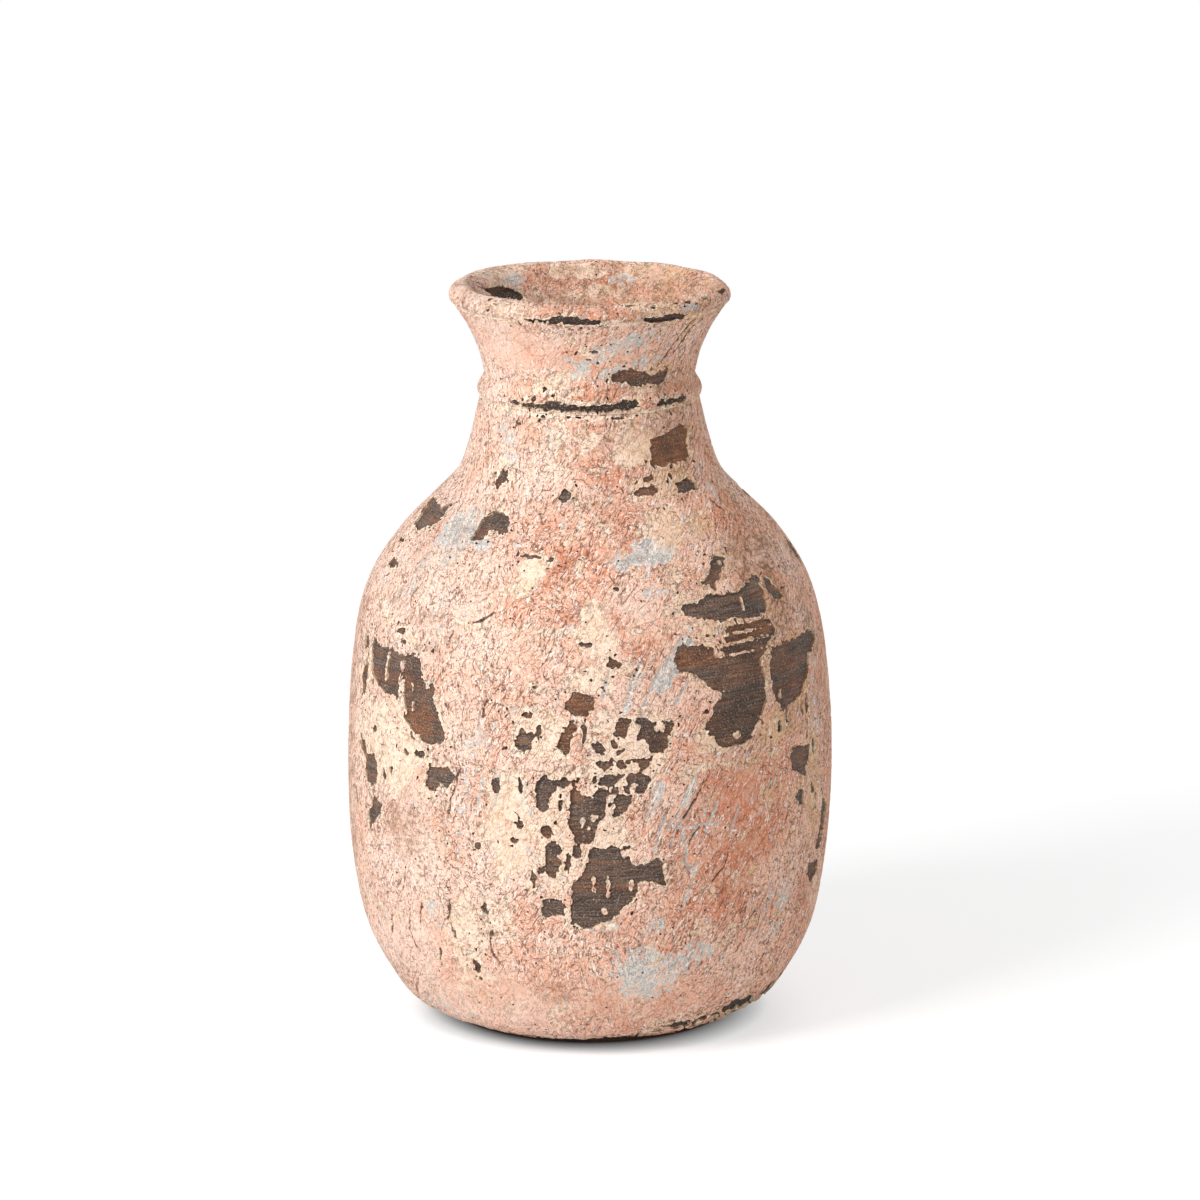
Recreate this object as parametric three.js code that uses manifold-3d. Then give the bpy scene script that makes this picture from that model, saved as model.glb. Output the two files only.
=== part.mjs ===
// An old turned wooden storage pot under a brittle painted crust. The body is one hollow turned
// piece. The crust has cracked along the incised rings into bands, and chips of it have broken
// away down to the wood. Millimetres, +Z up, the pot's axis on Z and its base on z = 0.
import * as THREE from 'three';
import { mergeVertices } from 'three/addons/utils/BufferGeometryUtils.js';
import Module from 'manifold-3d';

const wasm = await Module();
wasm.setup();

// Driving dimensions
const CRUST_THICKNESS = 1.2;
const SEATING_GAP = 0.3;
const RING_CRACK = 0.6;
const SWELL_DEPTH = 0.5;
const FACETS = 36;
const BASE_RADIUS = 54.3;
const WORN_EDGE = [58.2, 1.4];
const FLOOR_THICKNESS = 22;

// The wood needs only one section where two bands of crust nearly meet
const CLOSEST_SECTIONS = 0.9;

// The coat was smeared on by hand, so it swells and sinks: each wave goes so many times round the
// pot, climbs one radian in so many millimetres of height, and starts at its own angle
const SWELLS = [
  { waves: 7, climb: 21, start: 0 },
  { waves: -11, climb: 16, start: 2 },
  { waves: 12, climb: 37, start: 4 },
  { waves: 4, climb: -12, start: 1 },
];
const SWELL_REACH = 2.2;

// How finely the curves are measured and searched, and how close two corners are the same one
const CURVE_STEPS = 1000;
const HALVINGS = 30;
const SAME_POINT = 1e-4;

// Where the painted surface runs, as [height, radius] pairs from the foot up, over and in
const BODY_PROFILE = [
  [0, 54.3], [2, 59.5], [9, 74], [20, 82.1], [38, 91], [65, 96.5], [100, 98.4], [140, 97.1],
  [165, 93.5], [182, 87.8], [200, 76.1], [214, 62.4], [224, 53.2], [236, 48.6], [254.2, 44],
];
const NECK_RING_PROFILE = [[254.2, 44.6], [256.8, 45.2], [259, 44.7], [261.5, 43.2], [263.3, 42.4]];
const FLARE_PROFILE = [[263.3, 42.4], [268, 43.3], [274, 45.1], [283, 49.2], [289, 53], [292, 55]];
const LIP_PROFILE = [
  [292.4, 55.2], [293.4, 56.3], [296, 56.5], [298.2, 55.3], [299.5, 53], [300, 50.5], [299.3, 48.7],
];
const MOUTH_PROFILE = [[299, 48.4], [296.5, 46.2], [290, 43.3], [282, 39.5], [274, 36.2], [267, 34]];

// The bare bore below the painted mouth, down to the floor of the belly
const BORE_PROFILE = [
  [261, 34], [252, 33.8], [238, 37.5], [226, 43], [214, 50], [200, 64], [182, 78.2], [158, 85.5],
  [120, 88.4], [75, 87.5], [42, 81], [28, 70], [23, 55],
];

// Incised rings of the body, by height, and the rows of facets that each band of crust takes
const CRUST_START = 4;
const LOW_RING = 54.9;
const BELLY_RING_LOWER = 122.5;
const BELLY_RING_UPPER = 129.7;
const SHOULDER_RING = 177.7;
const COLLAR_RING = 233.4;
const COLLAR_TOP = 254.2;
const BODY_BANDS = [
  { name: 'foot_paint', from: CRUST_START, to: LOW_RING, rows: 5 },
  { name: 'lower_belly_paint', from: LOW_RING, to: BELLY_RING_LOWER, rows: 4 },
  { name: 'belly_band_paint', from: BELLY_RING_LOWER, to: BELLY_RING_UPPER, rows: 1 },
  { name: 'upper_belly_paint', from: BELLY_RING_UPPER, to: SHOULDER_RING, rows: 4 },
  { name: 'shoulder_paint', from: SHOULDER_RING, to: COLLAR_RING, rows: 6 },
  { name: 'collar_paint', from: COLLAR_RING, to: COLLAR_TOP, rows: 2 },
];

// Broken chips, each an outline of [degrees round from the front, height] corners
const CHIPS = {
  shoulder_right: [
    [24.5, 184], [25.5, 186.5], [30, 185], [31.5, 187], [34.5, 188.5], [38.5, 187], [41, 188], [44, 187],
    [49, 190], [52, 192], [55, 190.5], [53, 188], [52.5, 180], [51, 176], [43, 177], [40.5, 178.5],
    [35, 178.3], [32, 180], [27, 181],
  ],
  shoulder_stripes: [
    [35.5, 173], [37, 175], [43.5, 175.3], [49.5, 174.5], [51.8, 173], [53, 169], [50, 167.5], [48, 170],
    [45, 169], [39.5, 169], [35.5, 170.5],
  ],
  belly_right: [
    [24, 172], [27, 170], [31.5, 168.5], [32, 165.5], [34, 164], [35.5, 166.5], [41.5, 167.8],
    [49.3, 168.3], [48.3, 164], [45.8, 161.5], [45.2, 157], [46.8, 152.5], [46.6, 145], [42.6, 135],
    [41, 131.2], [38, 129.7], [32.5, 129.7], [29.7, 134], [27.2, 138], [30.3, 143], [30.5, 147],
    [34, 151.5], [30.2, 153.5], [28.7, 156], [24.5, 161.2], [22, 161], [21.2, 164.5], [22.5, 169.5],
  ],
  belly_far_right: [
    [50.7, 164], [61.5, 164.3], [71.5, 165], [73.5, 162], [69, 157.5], [66.5, 155], [65, 149.5],
    [60, 142.5], [52.5, 138.5], [50.2, 142.5], [48.8, 147.5], [49.2, 158],
  ],
  shoulder_small_right: [
    [40.2, 201], [44.5, 199.5], [42.5, 197.5], [40.2, 195], [37.5, 192.5], [36.5, 190], [33, 192.5],
    [36, 195], [38, 197.5],
  ],
  belly_left: [
    [-50, 162], [-45.7, 162.5], [-44.2, 156], [-42.2, 150], [-40, 152], [-39.5, 146.5], [-37, 138.5],
    [-35.7, 131.5], [-38.2, 129.7], [-42, 129.7], [-46.7, 134], [-50, 137], [-47.7, 140], [-50.2, 147.5],
    [-49.5, 154.5],
  ],
  belly_left_edge: [
    [-66.8, 159.5], [-66, 162.6], [-60.5, 160.5], [-56.7, 162.2], [-53.5, 161], [-49, 161],
    [-49, 152], [-51.4, 151], [-51.6, 143.5], [-53.5, 145.5], [-57.4, 144], [-62, 147.5], [-65, 150.5],
  ],
  shoulder_left: [
    [-87, 213], [-79, 214], [-75.5, 212.5], [-69.5, 213], [-66.5, 215], [-64, 212], [-64, 208],
    [-71.5, 204], [-77.5, 205], [-81.5, 208],
  ],
  shoulder_arch: [
    [-39, 216], [-34.2, 216.5], [-30.7, 214], [-30, 211], [-32.2, 209.5], [-36.2, 211], [-38.2, 207],
    [-42.5, 206.5], [-41, 210], [-42.2, 213],
  ],
  shoulder_small_left: [[-44.5, 230], [-40.5, 230.5], [-39.2, 227.5], [-43.2, 224.5], [-46, 226]],
  shoulder_dot: [[-12, 225.5], [-10.2, 226], [-8, 224.5], [-8.5, 222.5], [-10.5, 222], [-13.2, 223]],
  shoulder_slot_left: [[20, 224], [23.2, 226], [29, 226.5], [30.7, 224.5], [27.7, 223], [23.2, 223.5]],
  shoulder_slot_right: [[41.5, 225.5], [48, 227], [53.2, 224.5], [52.2, 222.5], [47.2, 222.5], [41.2, 223]],
  collar_right: [
    [32, 243], [39.2, 244.5], [46, 246.5], [51.2, 247.5], [58, 244], [55.2, 237], [51.7, 233.4],
    [30, 233.4], [30.2, 238.5],
  ],
  centre_low: [
    [0, 92], [5.5, 93], [9, 93], [7, 91], [7.2, 87.5], [9, 88.5], [10.5, 84.5], [16, 87], [17.5, 85],
    [17, 81.5], [17.7, 76.5], [14.7, 79], [11.2, 77.5], [11.2, 73.5], [9.5, 69.5], [7, 66.5], [4, 62],
    [0, 60], [-4.2, 62], [-4.2, 69], [-3.7, 77], [-1, 84],
  ],
  centre_high: [
    [-3.2, 117.5], [-1.7, 113], [0.5, 112.7], [2.2, 116.5], [4.2, 116.5], [4, 112.5], [3.5, 107], [1.7, 102],
    [1, 97], [-0.2, 94.5], [-3.7, 95], [-4.7, 104.5], [-4.2, 116],
  ],
  centre_spot: [[5.5, 110.5], [7, 113.5], [9.2, 113], [9.2, 108], [7.2, 106], [5.5, 107]],
  centre_fork: [
    [10.7, 144.5], [13.7, 144], [15.2, 142], [15.2, 138.5], [17.5, 138], [18, 142], [20.2, 141.5], [18, 133],
    [17, 130.5], [13.7, 130.5], [13.7, 134.5], [13, 136.5], [11, 136], [12, 141],
  ],
  centre_top_right: [[7.5, 144.5], [9.5, 144], [8.2, 136.5], [5.7, 138.5], [6.2, 142.5]],
  centre_top: [
    [-4.2, 154.5], [-1.7, 154.5], [-0.2, 153], [1.2, 153], [1, 150], [-1, 146], [-3.2, 145.5], [-5, 147.5],
    [-5, 151.5],
  ],
  centre_top_left: [[-4, 143.5], [-3, 141.5], [-4.7, 134.5], [-5.2, 130.5], [-7.2, 133.5], [-5.7, 140.5]],
  front_left_high: [
    [-15.5, 140.5], [-14.7, 138], [-12.2, 138], [-13.7, 135.5], [-13.7, 132.5], [-15.2, 130.5],
    [-17.5, 132.5], [-16.7, 137.5],
  ],
  front_left_top: [
    [-10.5, 121], [-8.5, 120], [-7.7, 116.5], [-9.2, 114.5], [-9.5, 110], [-10.7, 106.5], [-12, 109.5],
    [-12.5, 117.5],
  ],
  front_left_middle: [
    [-8.7, 95.5], [-6.2, 92], [-7.7, 89.5], [-6.7, 86], [-8.2, 81], [-11.5, 83.5], [-9.7, 85], [-10.2, 93],
  ],
  front_left_low: [[-11, 70.5], [-7.5, 71.5], [-5.7, 69.5], [-6.2, 65.5], [-10.7, 64]],
  belly_left_low: [
    [-40, 120], [-34.7, 120.5], [-32.7, 117.5], [-35.2, 112.5], [-37.2, 114], [-39.5, 110], [-41, 111.5],
    [-40.7, 117],
  ],
  edge_left: [
    [-69.5, 120], [-66.2, 120.5], [-64.7, 116.5], [-61.2, 116.5], [-59.7, 113], [-60.5, 106.5],
    [-63, 103.5], [-65.7, 107], [-65.5, 115],
  ],
  belly_right_low: [
    [56, 121.5], [60.8, 121], [64.2, 120], [63.8, 115], [61.6, 112.5], [62.3, 108.8], [59.5, 110],
    [55.3, 114], [54.5, 119.5],
  ],
  edge_right_low: [
    [73.2, 94.5], [78.2, 89.5], [74, 81], [72.5, 74.5], [69.2, 74], [71.5, 85.5],
  ],
  flare_right: [
    [9.2, 267.5], [13.7, 270], [21, 272], [28, 270.5], [34.5, 268.5], [46.7, 269.5], [46, 266.5],
    [40.7, 264.5], [33.7, 266], [29, 264.7], [23.2, 264.2], [19.5, 266.5],
  ],
  ring_slit_left: [
    [-43.5, 255.4], [-25, 256.6], [-20, 257.8], [-15.5, 257.2], [-4, 256], [5.5, 256.4], [14, 257.2],
    [21.8, 257.8], [24.8, 256.6], [26.8, 254.2], [-34, 254.2],
  ],
  ring_slit_right: [
    [37, 254.2], [38, 256], [44, 257], [52.5, 256.6], [54.5, 258.2], [57.5, 257.4], [59, 254.2],
  ],
};

// The chips' cutters run along the radius, from inside the crust to well outside it
const CUTTER_INNER = 0.92;
const CUTTER_OUTER = 1.25;

const WOOD = { color: 0x574439, roughness: 0.9, metalness: 0 };
const OLD_PAINT = { color: 0xdfa88d, roughness: 0.95, metalness: 0 };

function curveThrough(profile) {
  const points = profile.map(([height, radius]) => new THREE.Vector3(radius, height, 0));
  const curve = new THREE.CatmullRomCurve3(points, false, 'centripetal');
  curve.arcLengthDivisions = CURVE_STEPS;
  return curve;
}

// How far along a rising curve a height lies, as a fraction of its length
function positionOf(curve, height) {
  let low = 0;
  let high = 1;
  for (let halving = 0; halving < HALVINGS; halving += 1) {
    const middle = (low + high) / 2;
    if (curve.getPointAt(middle).y < height) low = middle;
    else high = middle;
  }
  return (low + high) / 2;
}

// Points of one band's painted surface, evenly spaced, with half a crack left open at each end
function bandPoints(curve, start, end, rows) {
  const halfCrack = RING_CRACK / 2 / curve.getLength();
  return Array.from({ length: rows + 1 }, (_, row) => {
    const along = THREE.MathUtils.lerp(start + halfCrack, end - halfCrack, row / rows);
    const point = curve.getPointAt(along);
    return new THREE.Vector2(point.x, point.y);
  });
}

// The same path moved sideways into the pot's wall
function inset(path, depth) {
  return path.map((point, index) => {
    const before = path[Math.max(index - 1, 0)];
    const after = path[Math.min(index + 1, path.length - 1)];
    const along = after.clone().sub(before).normalize();
    return new THREE.Vector2(point.x - along.y * depth, point.y + along.x * depth);
  });
}

function turned(outline) {
  const closed = outline[0].x === 0 ? outline : [...outline, outline[0]];
  const geometry = new THREE.LatheGeometry(closed, FACETS);
  geometry.rotateX(Math.PI / 2);
  return geometry;
}

function toManifold(geometry) {
  const bare = new THREE.BufferGeometry();
  bare.setAttribute('position', geometry.getAttribute('position'));
  bare.setIndex(geometry.getIndex());
  const merged = mergeVertices(bare, SAME_POINT);
  return new wasm.Manifold(new wasm.Mesh({
    numProp: 3,
    vertProperties: new Float32Array(merged.getAttribute('position').array),
    triVerts: new Uint32Array(merged.getIndex().array),
  }));
}

function toGeometry(solid) {
  const mesh = solid.getMesh();
  const geometry = new THREE.BufferGeometry();
  geometry.setAttribute('position', new THREE.BufferAttribute(new Float32Array(mesh.vertProperties), 3));
  geometry.setIndex(new THREE.BufferAttribute(new Uint32Array(mesh.triVerts), 1));
  geometry.computeVertexNormals();
  return geometry;
}

// A chip's cutter: its outline laid round the pot and drawn out along the radius
function chipCutter(outline, radiusAt) {
  const flat = outline.map(([degrees, height]) => new THREE.Vector2(degrees, height));
  if (THREE.ShapeUtils.isClockWise(flat)) flat.reverse();
  const corner = ({ x: degrees, y: height }, reach) => {
    const angle = THREE.MathUtils.degToRad(degrees);
    const radius = radiusAt(height) * reach;
    return [radius * Math.sin(angle), -radius * Math.cos(angle), height];
  };
  const count = flat.length;
  const positions = [
    ...flat.map((point) => corner(point, CUTTER_OUTER)),
    ...flat.map((point) => corner(point, CUTTER_INNER)),
  ].flat();
  const faces = [];
  for (const [a, b, c] of THREE.ShapeUtils.triangulateShape(flat, [])) {
    faces.push(a, b, c, count + c, count + b, count + a);
  }
  for (let here = 0; here < count; here += 1) {
    const next = (here + 1) % count;
    faces.push(here, count + here, count + next, here, count + next, next);
  }
  const geometry = new THREE.BufferGeometry();
  geometry.setAttribute('position', new THREE.BufferAttribute(new Float32Array(positions), 3));
  geometry.setIndex(faces);
  return toManifold(geometry);
}

function namedMesh(name, geometry, finish) {
  const mesh = new THREE.Mesh(geometry, new THREE.MeshStandardMaterial(finish));
  mesh.name = name;
  return mesh;
}

// The painted surface of every band, from the foot up over the lip and down into the mouth
function paintedBands() {
  const body = curveThrough(BODY_PROFILE);
  const bands = BODY_BANDS.map(({ name, from, to, rows }) => ({
    name,
    path: bandPoints(body, positionOf(body, from), positionOf(body, to), rows),
  }));
  const wholeCurve = (name, profile, rows) => ({ name, path: bandPoints(curveThrough(profile), 0, 1, rows) });
  return [
    ...bands,
    wholeCurve('neck_ring_paint', NECK_RING_PROFILE, 3),
    wholeCurve('neck_paint', FLARE_PROFILE, 4),
    wholeCurve('rim_paint', LIP_PROFILE, 5),
    wholeCurve('mouth_lining_paint', MOUTH_PROFILE, 4),
  ];
}

// One turned piece: flat base, outside under the crust, lip, bore and the belly's hollow
function turnedBody(bands) {
  const underCrust = bands
    .flatMap(({ path }) => inset(path, CRUST_THICKNESS + SEATING_GAP))
    .filter((point, index, path) => index === 0 || point.distanceTo(path[index - 1]) > CLOSEST_SECTIONS);
  return turned([
    new THREE.Vector2(0, 0),
    new THREE.Vector2(BASE_RADIUS, 0),
    new THREE.Vector2(...WORN_EDGE),
    ...underCrust,
    ...BORE_PROFILE.map(([height, radius]) => new THREE.Vector2(radius, height)),
    new THREE.Vector2(0, FLOOR_THICKNESS),
  ]);
}

// How far the painted side sinks below its highest swells
function sunkenBy(angle, height) {
  const level = SWELLS.reduce((sum, { waves, climb, start }) => (
    sum + Math.sin(waves * angle + height / climb + start)
  ), 0);
  return SWELL_DEPTH * THREE.MathUtils.smoothstep(level, -SWELL_REACH, SWELL_REACH);
}

// A thin shell that follows the band's path: even on the wood's side, swelling on the painted side
function crustShell(path) {
  const shell = turned([...path, ...inset(path, CRUST_THICKNESS).reverse()]);
  const place = shell.getAttribute('position');
  const last = 2 * path.length;
  for (let index = 0; index < place.count; index += 1) {
    const row = index % (last + 1) % last;
    if (row < path.length) {
      const painted = new THREE.Vector3().fromBufferAttribute(place, index);
      const behind = new THREE.Vector3().fromBufferAttribute(place, index - index % (last + 1) + last - 1 - row);
      painted.lerp(behind, sunkenBy(Math.atan2(painted.x, -painted.y), painted.z) / CRUST_THICKNESS);
      place.setXYZ(index, painted.x, painted.y, painted.z);
    }
  }
  return shell;
}

// One band of crust with the chips broken out of it
function crustBand(path, chips) {
  return toManifold(crustShell(path)).subtract(chips);
}

const bands = paintedBands();
const surface = bands.flatMap(({ path }) => path);
const surfaceRadius = (height) => {
  const upper = surface.findIndex((point) => point.y >= height);
  const [below, above] = [surface[upper - 1], surface[upper]];
  return THREE.MathUtils.mapLinear(height, below.y, above.y, below.x, above.x);
};
const chipCutters = Object.values(CHIPS).map((outline) => chipCutter(outline, surfaceRadius));
const allChips = wasm.Manifold.union(chipCutters);

const pot = new THREE.Group();
pot.add(namedMesh('turned_body', turnedBody(bands), WOOD));
for (const { name, path } of bands) {
  pot.add(namedMesh(name, toGeometry(crustBand(path, allChips)), OLD_PAINT));
}

export default pot;
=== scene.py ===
# An old turned wooden storage pot: dark bare wood under a brittle crust of chalk ground and mineral
# paint, which is wrinkled, cracked along the incised rings and broken away in chips.
import math

import bmesh
import bpy
import numpy as np
from mathutils import Matrix, Vector


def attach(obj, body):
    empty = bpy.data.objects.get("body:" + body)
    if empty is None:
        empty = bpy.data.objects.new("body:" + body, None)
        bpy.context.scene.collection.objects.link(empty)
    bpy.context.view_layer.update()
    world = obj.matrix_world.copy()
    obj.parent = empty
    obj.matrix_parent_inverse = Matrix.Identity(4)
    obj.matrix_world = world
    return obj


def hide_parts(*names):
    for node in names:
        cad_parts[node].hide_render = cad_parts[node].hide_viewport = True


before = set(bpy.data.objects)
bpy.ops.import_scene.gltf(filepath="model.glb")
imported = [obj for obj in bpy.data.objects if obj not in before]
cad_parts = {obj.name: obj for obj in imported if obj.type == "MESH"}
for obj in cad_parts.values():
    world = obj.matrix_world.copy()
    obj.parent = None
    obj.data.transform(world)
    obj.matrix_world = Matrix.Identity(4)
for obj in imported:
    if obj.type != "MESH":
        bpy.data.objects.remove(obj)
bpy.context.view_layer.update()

MM = 0.001

# Driving dimensions in millimetres
BASE_RADIUS = 54.3
WORN_EDGE = (1.4, 58.2)
FLOOR_THICKNESS = 22
WOOD_DEPTH = 1.3
DEEPEST_RELIEF = 1.08
WALL_DEPTH = 1.5

# How far a chip's broken wall slopes to each millimetre of depth, and the step that its slope is read over
WALL_SLOPE, SLOPE_STEP = 0.12, 0.25

# The crust's mesh: its spacing, how near a chip's edge it is twice as fine, how much closer its columns
# stand at the front, how near an edge's end it may be cut, how near the back its two ends must be, the
# margin round its strips in the UV map, and the steps of a profile's curve between two of its points
COLUMN_SPACING, ROW_SPACING = 0.88, 0.72
FINE_REACH = 0.7
FRONT_DENSITY = 0.4
CUT_MARGIN = 0.08
SEAM_TOLERANCE = 0.01
UV_MARGIN = 0.01
CURVE_STEPS = 40

# The wood's mesh: columns round it, spacing of the rows under the crust, in the mouth and in the bore, and
# rings of the base and of the hollow's floor
WOOD_COLUMNS = 180
CRUST_ROWS, MOUTH_ROWS, BORE_ROWS = 1.15, 2, 2.6
BASE_RINGS, FLOOR_RINGS = 34, 18

# The coat was smeared on by hand, so it swells and sinks: (waves round the pot, millimetres of
# height to a radian, start) of each wave, how deep it sinks and the reach of the summed waves
SWELLS = [(7, 21, 0), (-11, 16, 2), (12, 37, 4), (4, -12, 1)]
SWELL_DEPTH = 0.5
SWELL_REACH = 2.2

# Heights, and the radius half way through the wall there, which parts the outside from the bore
WALL_MIDDLE = ([0, 28, 42, 75, 120, 158, 182, 200, 214, 226, 238, 262],
               [60, 78, 86, 92, 93, 90, 82.5, 69.5, 55.5, 47, 42, 38])

# Where the painted surface runs, as (height, radius) pairs from the foot up, over and in
BODY_PROFILE = [
    (0, 54.3), (2, 59.5), (9, 74), (20, 82.1), (38, 91), (65, 96.5), (100, 98.4), (140, 97.1),
    (165, 93.5), (182, 87.8), (200, 76.1), (214, 62.4), (224, 53.2), (236, 48.6), (254.2, 44),
]
NECK_RING_PROFILE = [(254.2, 44.6), (256.8, 45.2), (259, 44.7), (261.5, 43.2), (263.3, 42.4)]
FLARE_PROFILE = [(263.3, 42.4), (268, 43.3), (274, 45.1), (283, 49.2), (289, 53), (292.2, 55.1)]
LIP_PROFILE = [
    (292.2, 55.1), (293.4, 56.3), (296, 56.5), (298.2, 55.3), (299.5, 53), (300, 50.5), (299.3, 48.7),
]
MOUTH_PROFILE = [(299.3, 48.7), (296.5, 46.2), (290, 43.3), (282, 39.5), (274, 36.2), (267, 34)]
BORE_PROFILE = [
    (261, 34), (252, 33.8), (238, 37.5), (226, 43), (214, 50), (200, 64), (182, 78.2), (158, 85.5),
    (120, 88.4), (75, 87.5), (42, 81), (28, 70), (23, 55),
]

# Incised rings of the body, by height, and how deep the crease over each of them is
CRUST_START = 1.6
LOW_RING, LOW_CREASE = 54.9, 0.3
BELLY_RING_LOWER, BELLY_RING_UPPER, BELLY_CREASE = 122.5, 129.7, 0.34
SHOULDER_RING, SHOULDER_CREASE = 177.7, 0.3
COLLAR_RING, COLLAR_CREASE = 233.4, 0.34
COLLAR_TOP, RING_CREASE = 254.2, 0.3
NECK_CREASE = 0.25
LIP_CREASE = 0.45
LIP_CREST, CREST_CREASE = 297, 0.06
THROAT_CREASE = 0.3
CREASE_WIDTH = 1.3
# How dark the creases are painted: painted shade along the incised rings, carried in the crack field
CREASE_SHADE = 0.8

# The paint's relief in millimetres: how far it lies below the solids, and how deep each of its marks is
MEAN_SINK = 0.26
WORN_COAT_DEPTH, LIMEWASH_DEPTH = 0.1, 0.06
WRINKLE_DEPTH, FINE_WRINKLE_DEPTH, TOOL_MARK_DEPTH = 0.13, 0.06, 0.2
CRACK_DEPTH, SCRATCH_DEPTH = 0.6, 0.22
TEXTURE_RANGE = (-0.5, 0.1)

# Pinholes through the crust: how high their noise must rise, and how far round a chip they lie
PINHOLE_LEVEL = 0.6
PINHOLE_REACH = 5

# How the marks lean from level in degrees, and the radians from the front over which they stop leaning
WRINKLE_LEAN, TOOL_LEAN, STREAK_LEAN = 58, 62, 60
BACK_FADE = (2.6, 1.9)

# The seams under the neck ring and under the lip, whose edges have worn down to the cream ground
WORN_SEAMS = (COLLAR_TOP, 292.2)

# How much paler the coat is on the left, the side that faces the key light, and the degrees over which that
# fades in: partly bleaching by the sun, partly painted light
BLEACH_AND_LIGHT = 0.4
LIT_SIDE_FRONT = (10, -55)
LIT_SIDE_BACK = (-180, -110)

# Where the ground goes tan on the right, the side where the light falls off, in the same way: partly age,
# partly painted shade
SHADED_SIDE_FRONT = (8, 52)
SHADED_SIDE_BACK = (180, 120)

# The brush strokes' lean from level in degrees, and how many of them go to a millimetre across and
# along. A brush's real lines are under 0.5 mm apart, and are drawn 1.6 mm apart to show in the render
LEANING_STROKES = 63
UPRIGHT_STROKES = 97
STROKE_SHAPE = (0.62, 0.13, 0.0)
CURL_SIZE = 1.8

# The paint's patterns, as (size in millimetres, detail, roughness). The real grains of chalk are under
# 0.2 mm, and are drawn at 0.75 mm to show in the render
GRAIN = (0.75, 1.5, 0.6)
GRIT = (1.6, 3.0, 0.65)
MOTTLE = (4.2, 4.0, 0.6)
CLOUD = (17, 3.0, 0.5)
PIT_SPACING = 4.2

# The wood's grain lines and the bands that they gather in, in millimetres
WOOD_LINE_SIZE, WOOD_BAND_SIZE = 0.6, 4

# Millimetres between the growth rings in the base, and between the Wave node's rings at a scale of 1
GROWTH_RING_SPACING = 3
WAVE_SPACING = 2 * math.pi / 20

# Colours of the chalk ground, the coat, the limewash, and what marks them
# The aged cream and the bleached pink are partly painted shade and light: the cream tans the right side,
# where the light falls off, and the pink pales the left side, which faces it
CREAM, TAN_CREAM, TAN_AND_SHADED_CREAM = "#FADDC6", "#EAC5A3", "#E3B48B"
SALMON, BURNT_CORAL, PALE_AND_LIT_PINK, SHADED_SALMON = "#EDB499", "#D3825F", "#F7D3C1", "#DD9A7B"
PALE_LIMEWASH, GREY_LIMEWASH = "#DEDFDA", "#B3B8B5"
# The pale stroke colour is a painted highlight along one side of each brush stroke; the line brown is both
# the paint's own brown lines and painted shade along each stroke's other side
RUBBED_CREST, STROKE_HIGHLIGHT, FRESH_CHALK, PALE_GRAIN = "#FFE9DA", "#FFEFE2", "#FFF0DA", "#FFEDE0"
HOLLOW_BROWN, BROWN_GRAIN, GRIME_BROWN, LINE_BROWN_AND_SHADE = "#C78668", "#B5775A", "#9A6A4A", "#6E4332"
CRACK_DARK, PIT_DARK = "#3D2A22", "#38261F"
WHITE = (1, 1, 1, 1)

# The floor in millimetres: its half width, where it fades to the white background, and where the painted
# contact shadow round the pot's foot ends, over which the floor's lift grows from nothing to full
FLOOR_HALF = 1200
FADE_START, FADE_END = 500, 950
CONTACT_SHADOW_START, CONTACT_SHADOW_END = 54, 73
FLOOR_LIFT = 0.61

# The camera, fitted to the photograph: metres, degrees up from straight down, and millimetres
CAMERA_PLACE = (0, -2.3, 0.7094)
CAMERA_TILT = 76.787
CAMERA_LENS, CAMERA_SENSOR, CAMERA_SHIFT = 175.8, 36, 0.00875

# Soft boxes as (name, place in metres, size, watts), the point that they face, and the room's own light
LAMPS = [
    ("key_soft_box", (-1.4, -1.2, 1.4), 0.9, 43.5),
    ("fill_soft_box", (1.5, -1.6, 0.9), 1.4, 9),
    ("top_soft_box", (0.5, 0.3, 1.9), 0.8, 5),
]
LAMP_AIM = (0, 0, 0.14)
ROOM_LIGHT = 0.4

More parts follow.
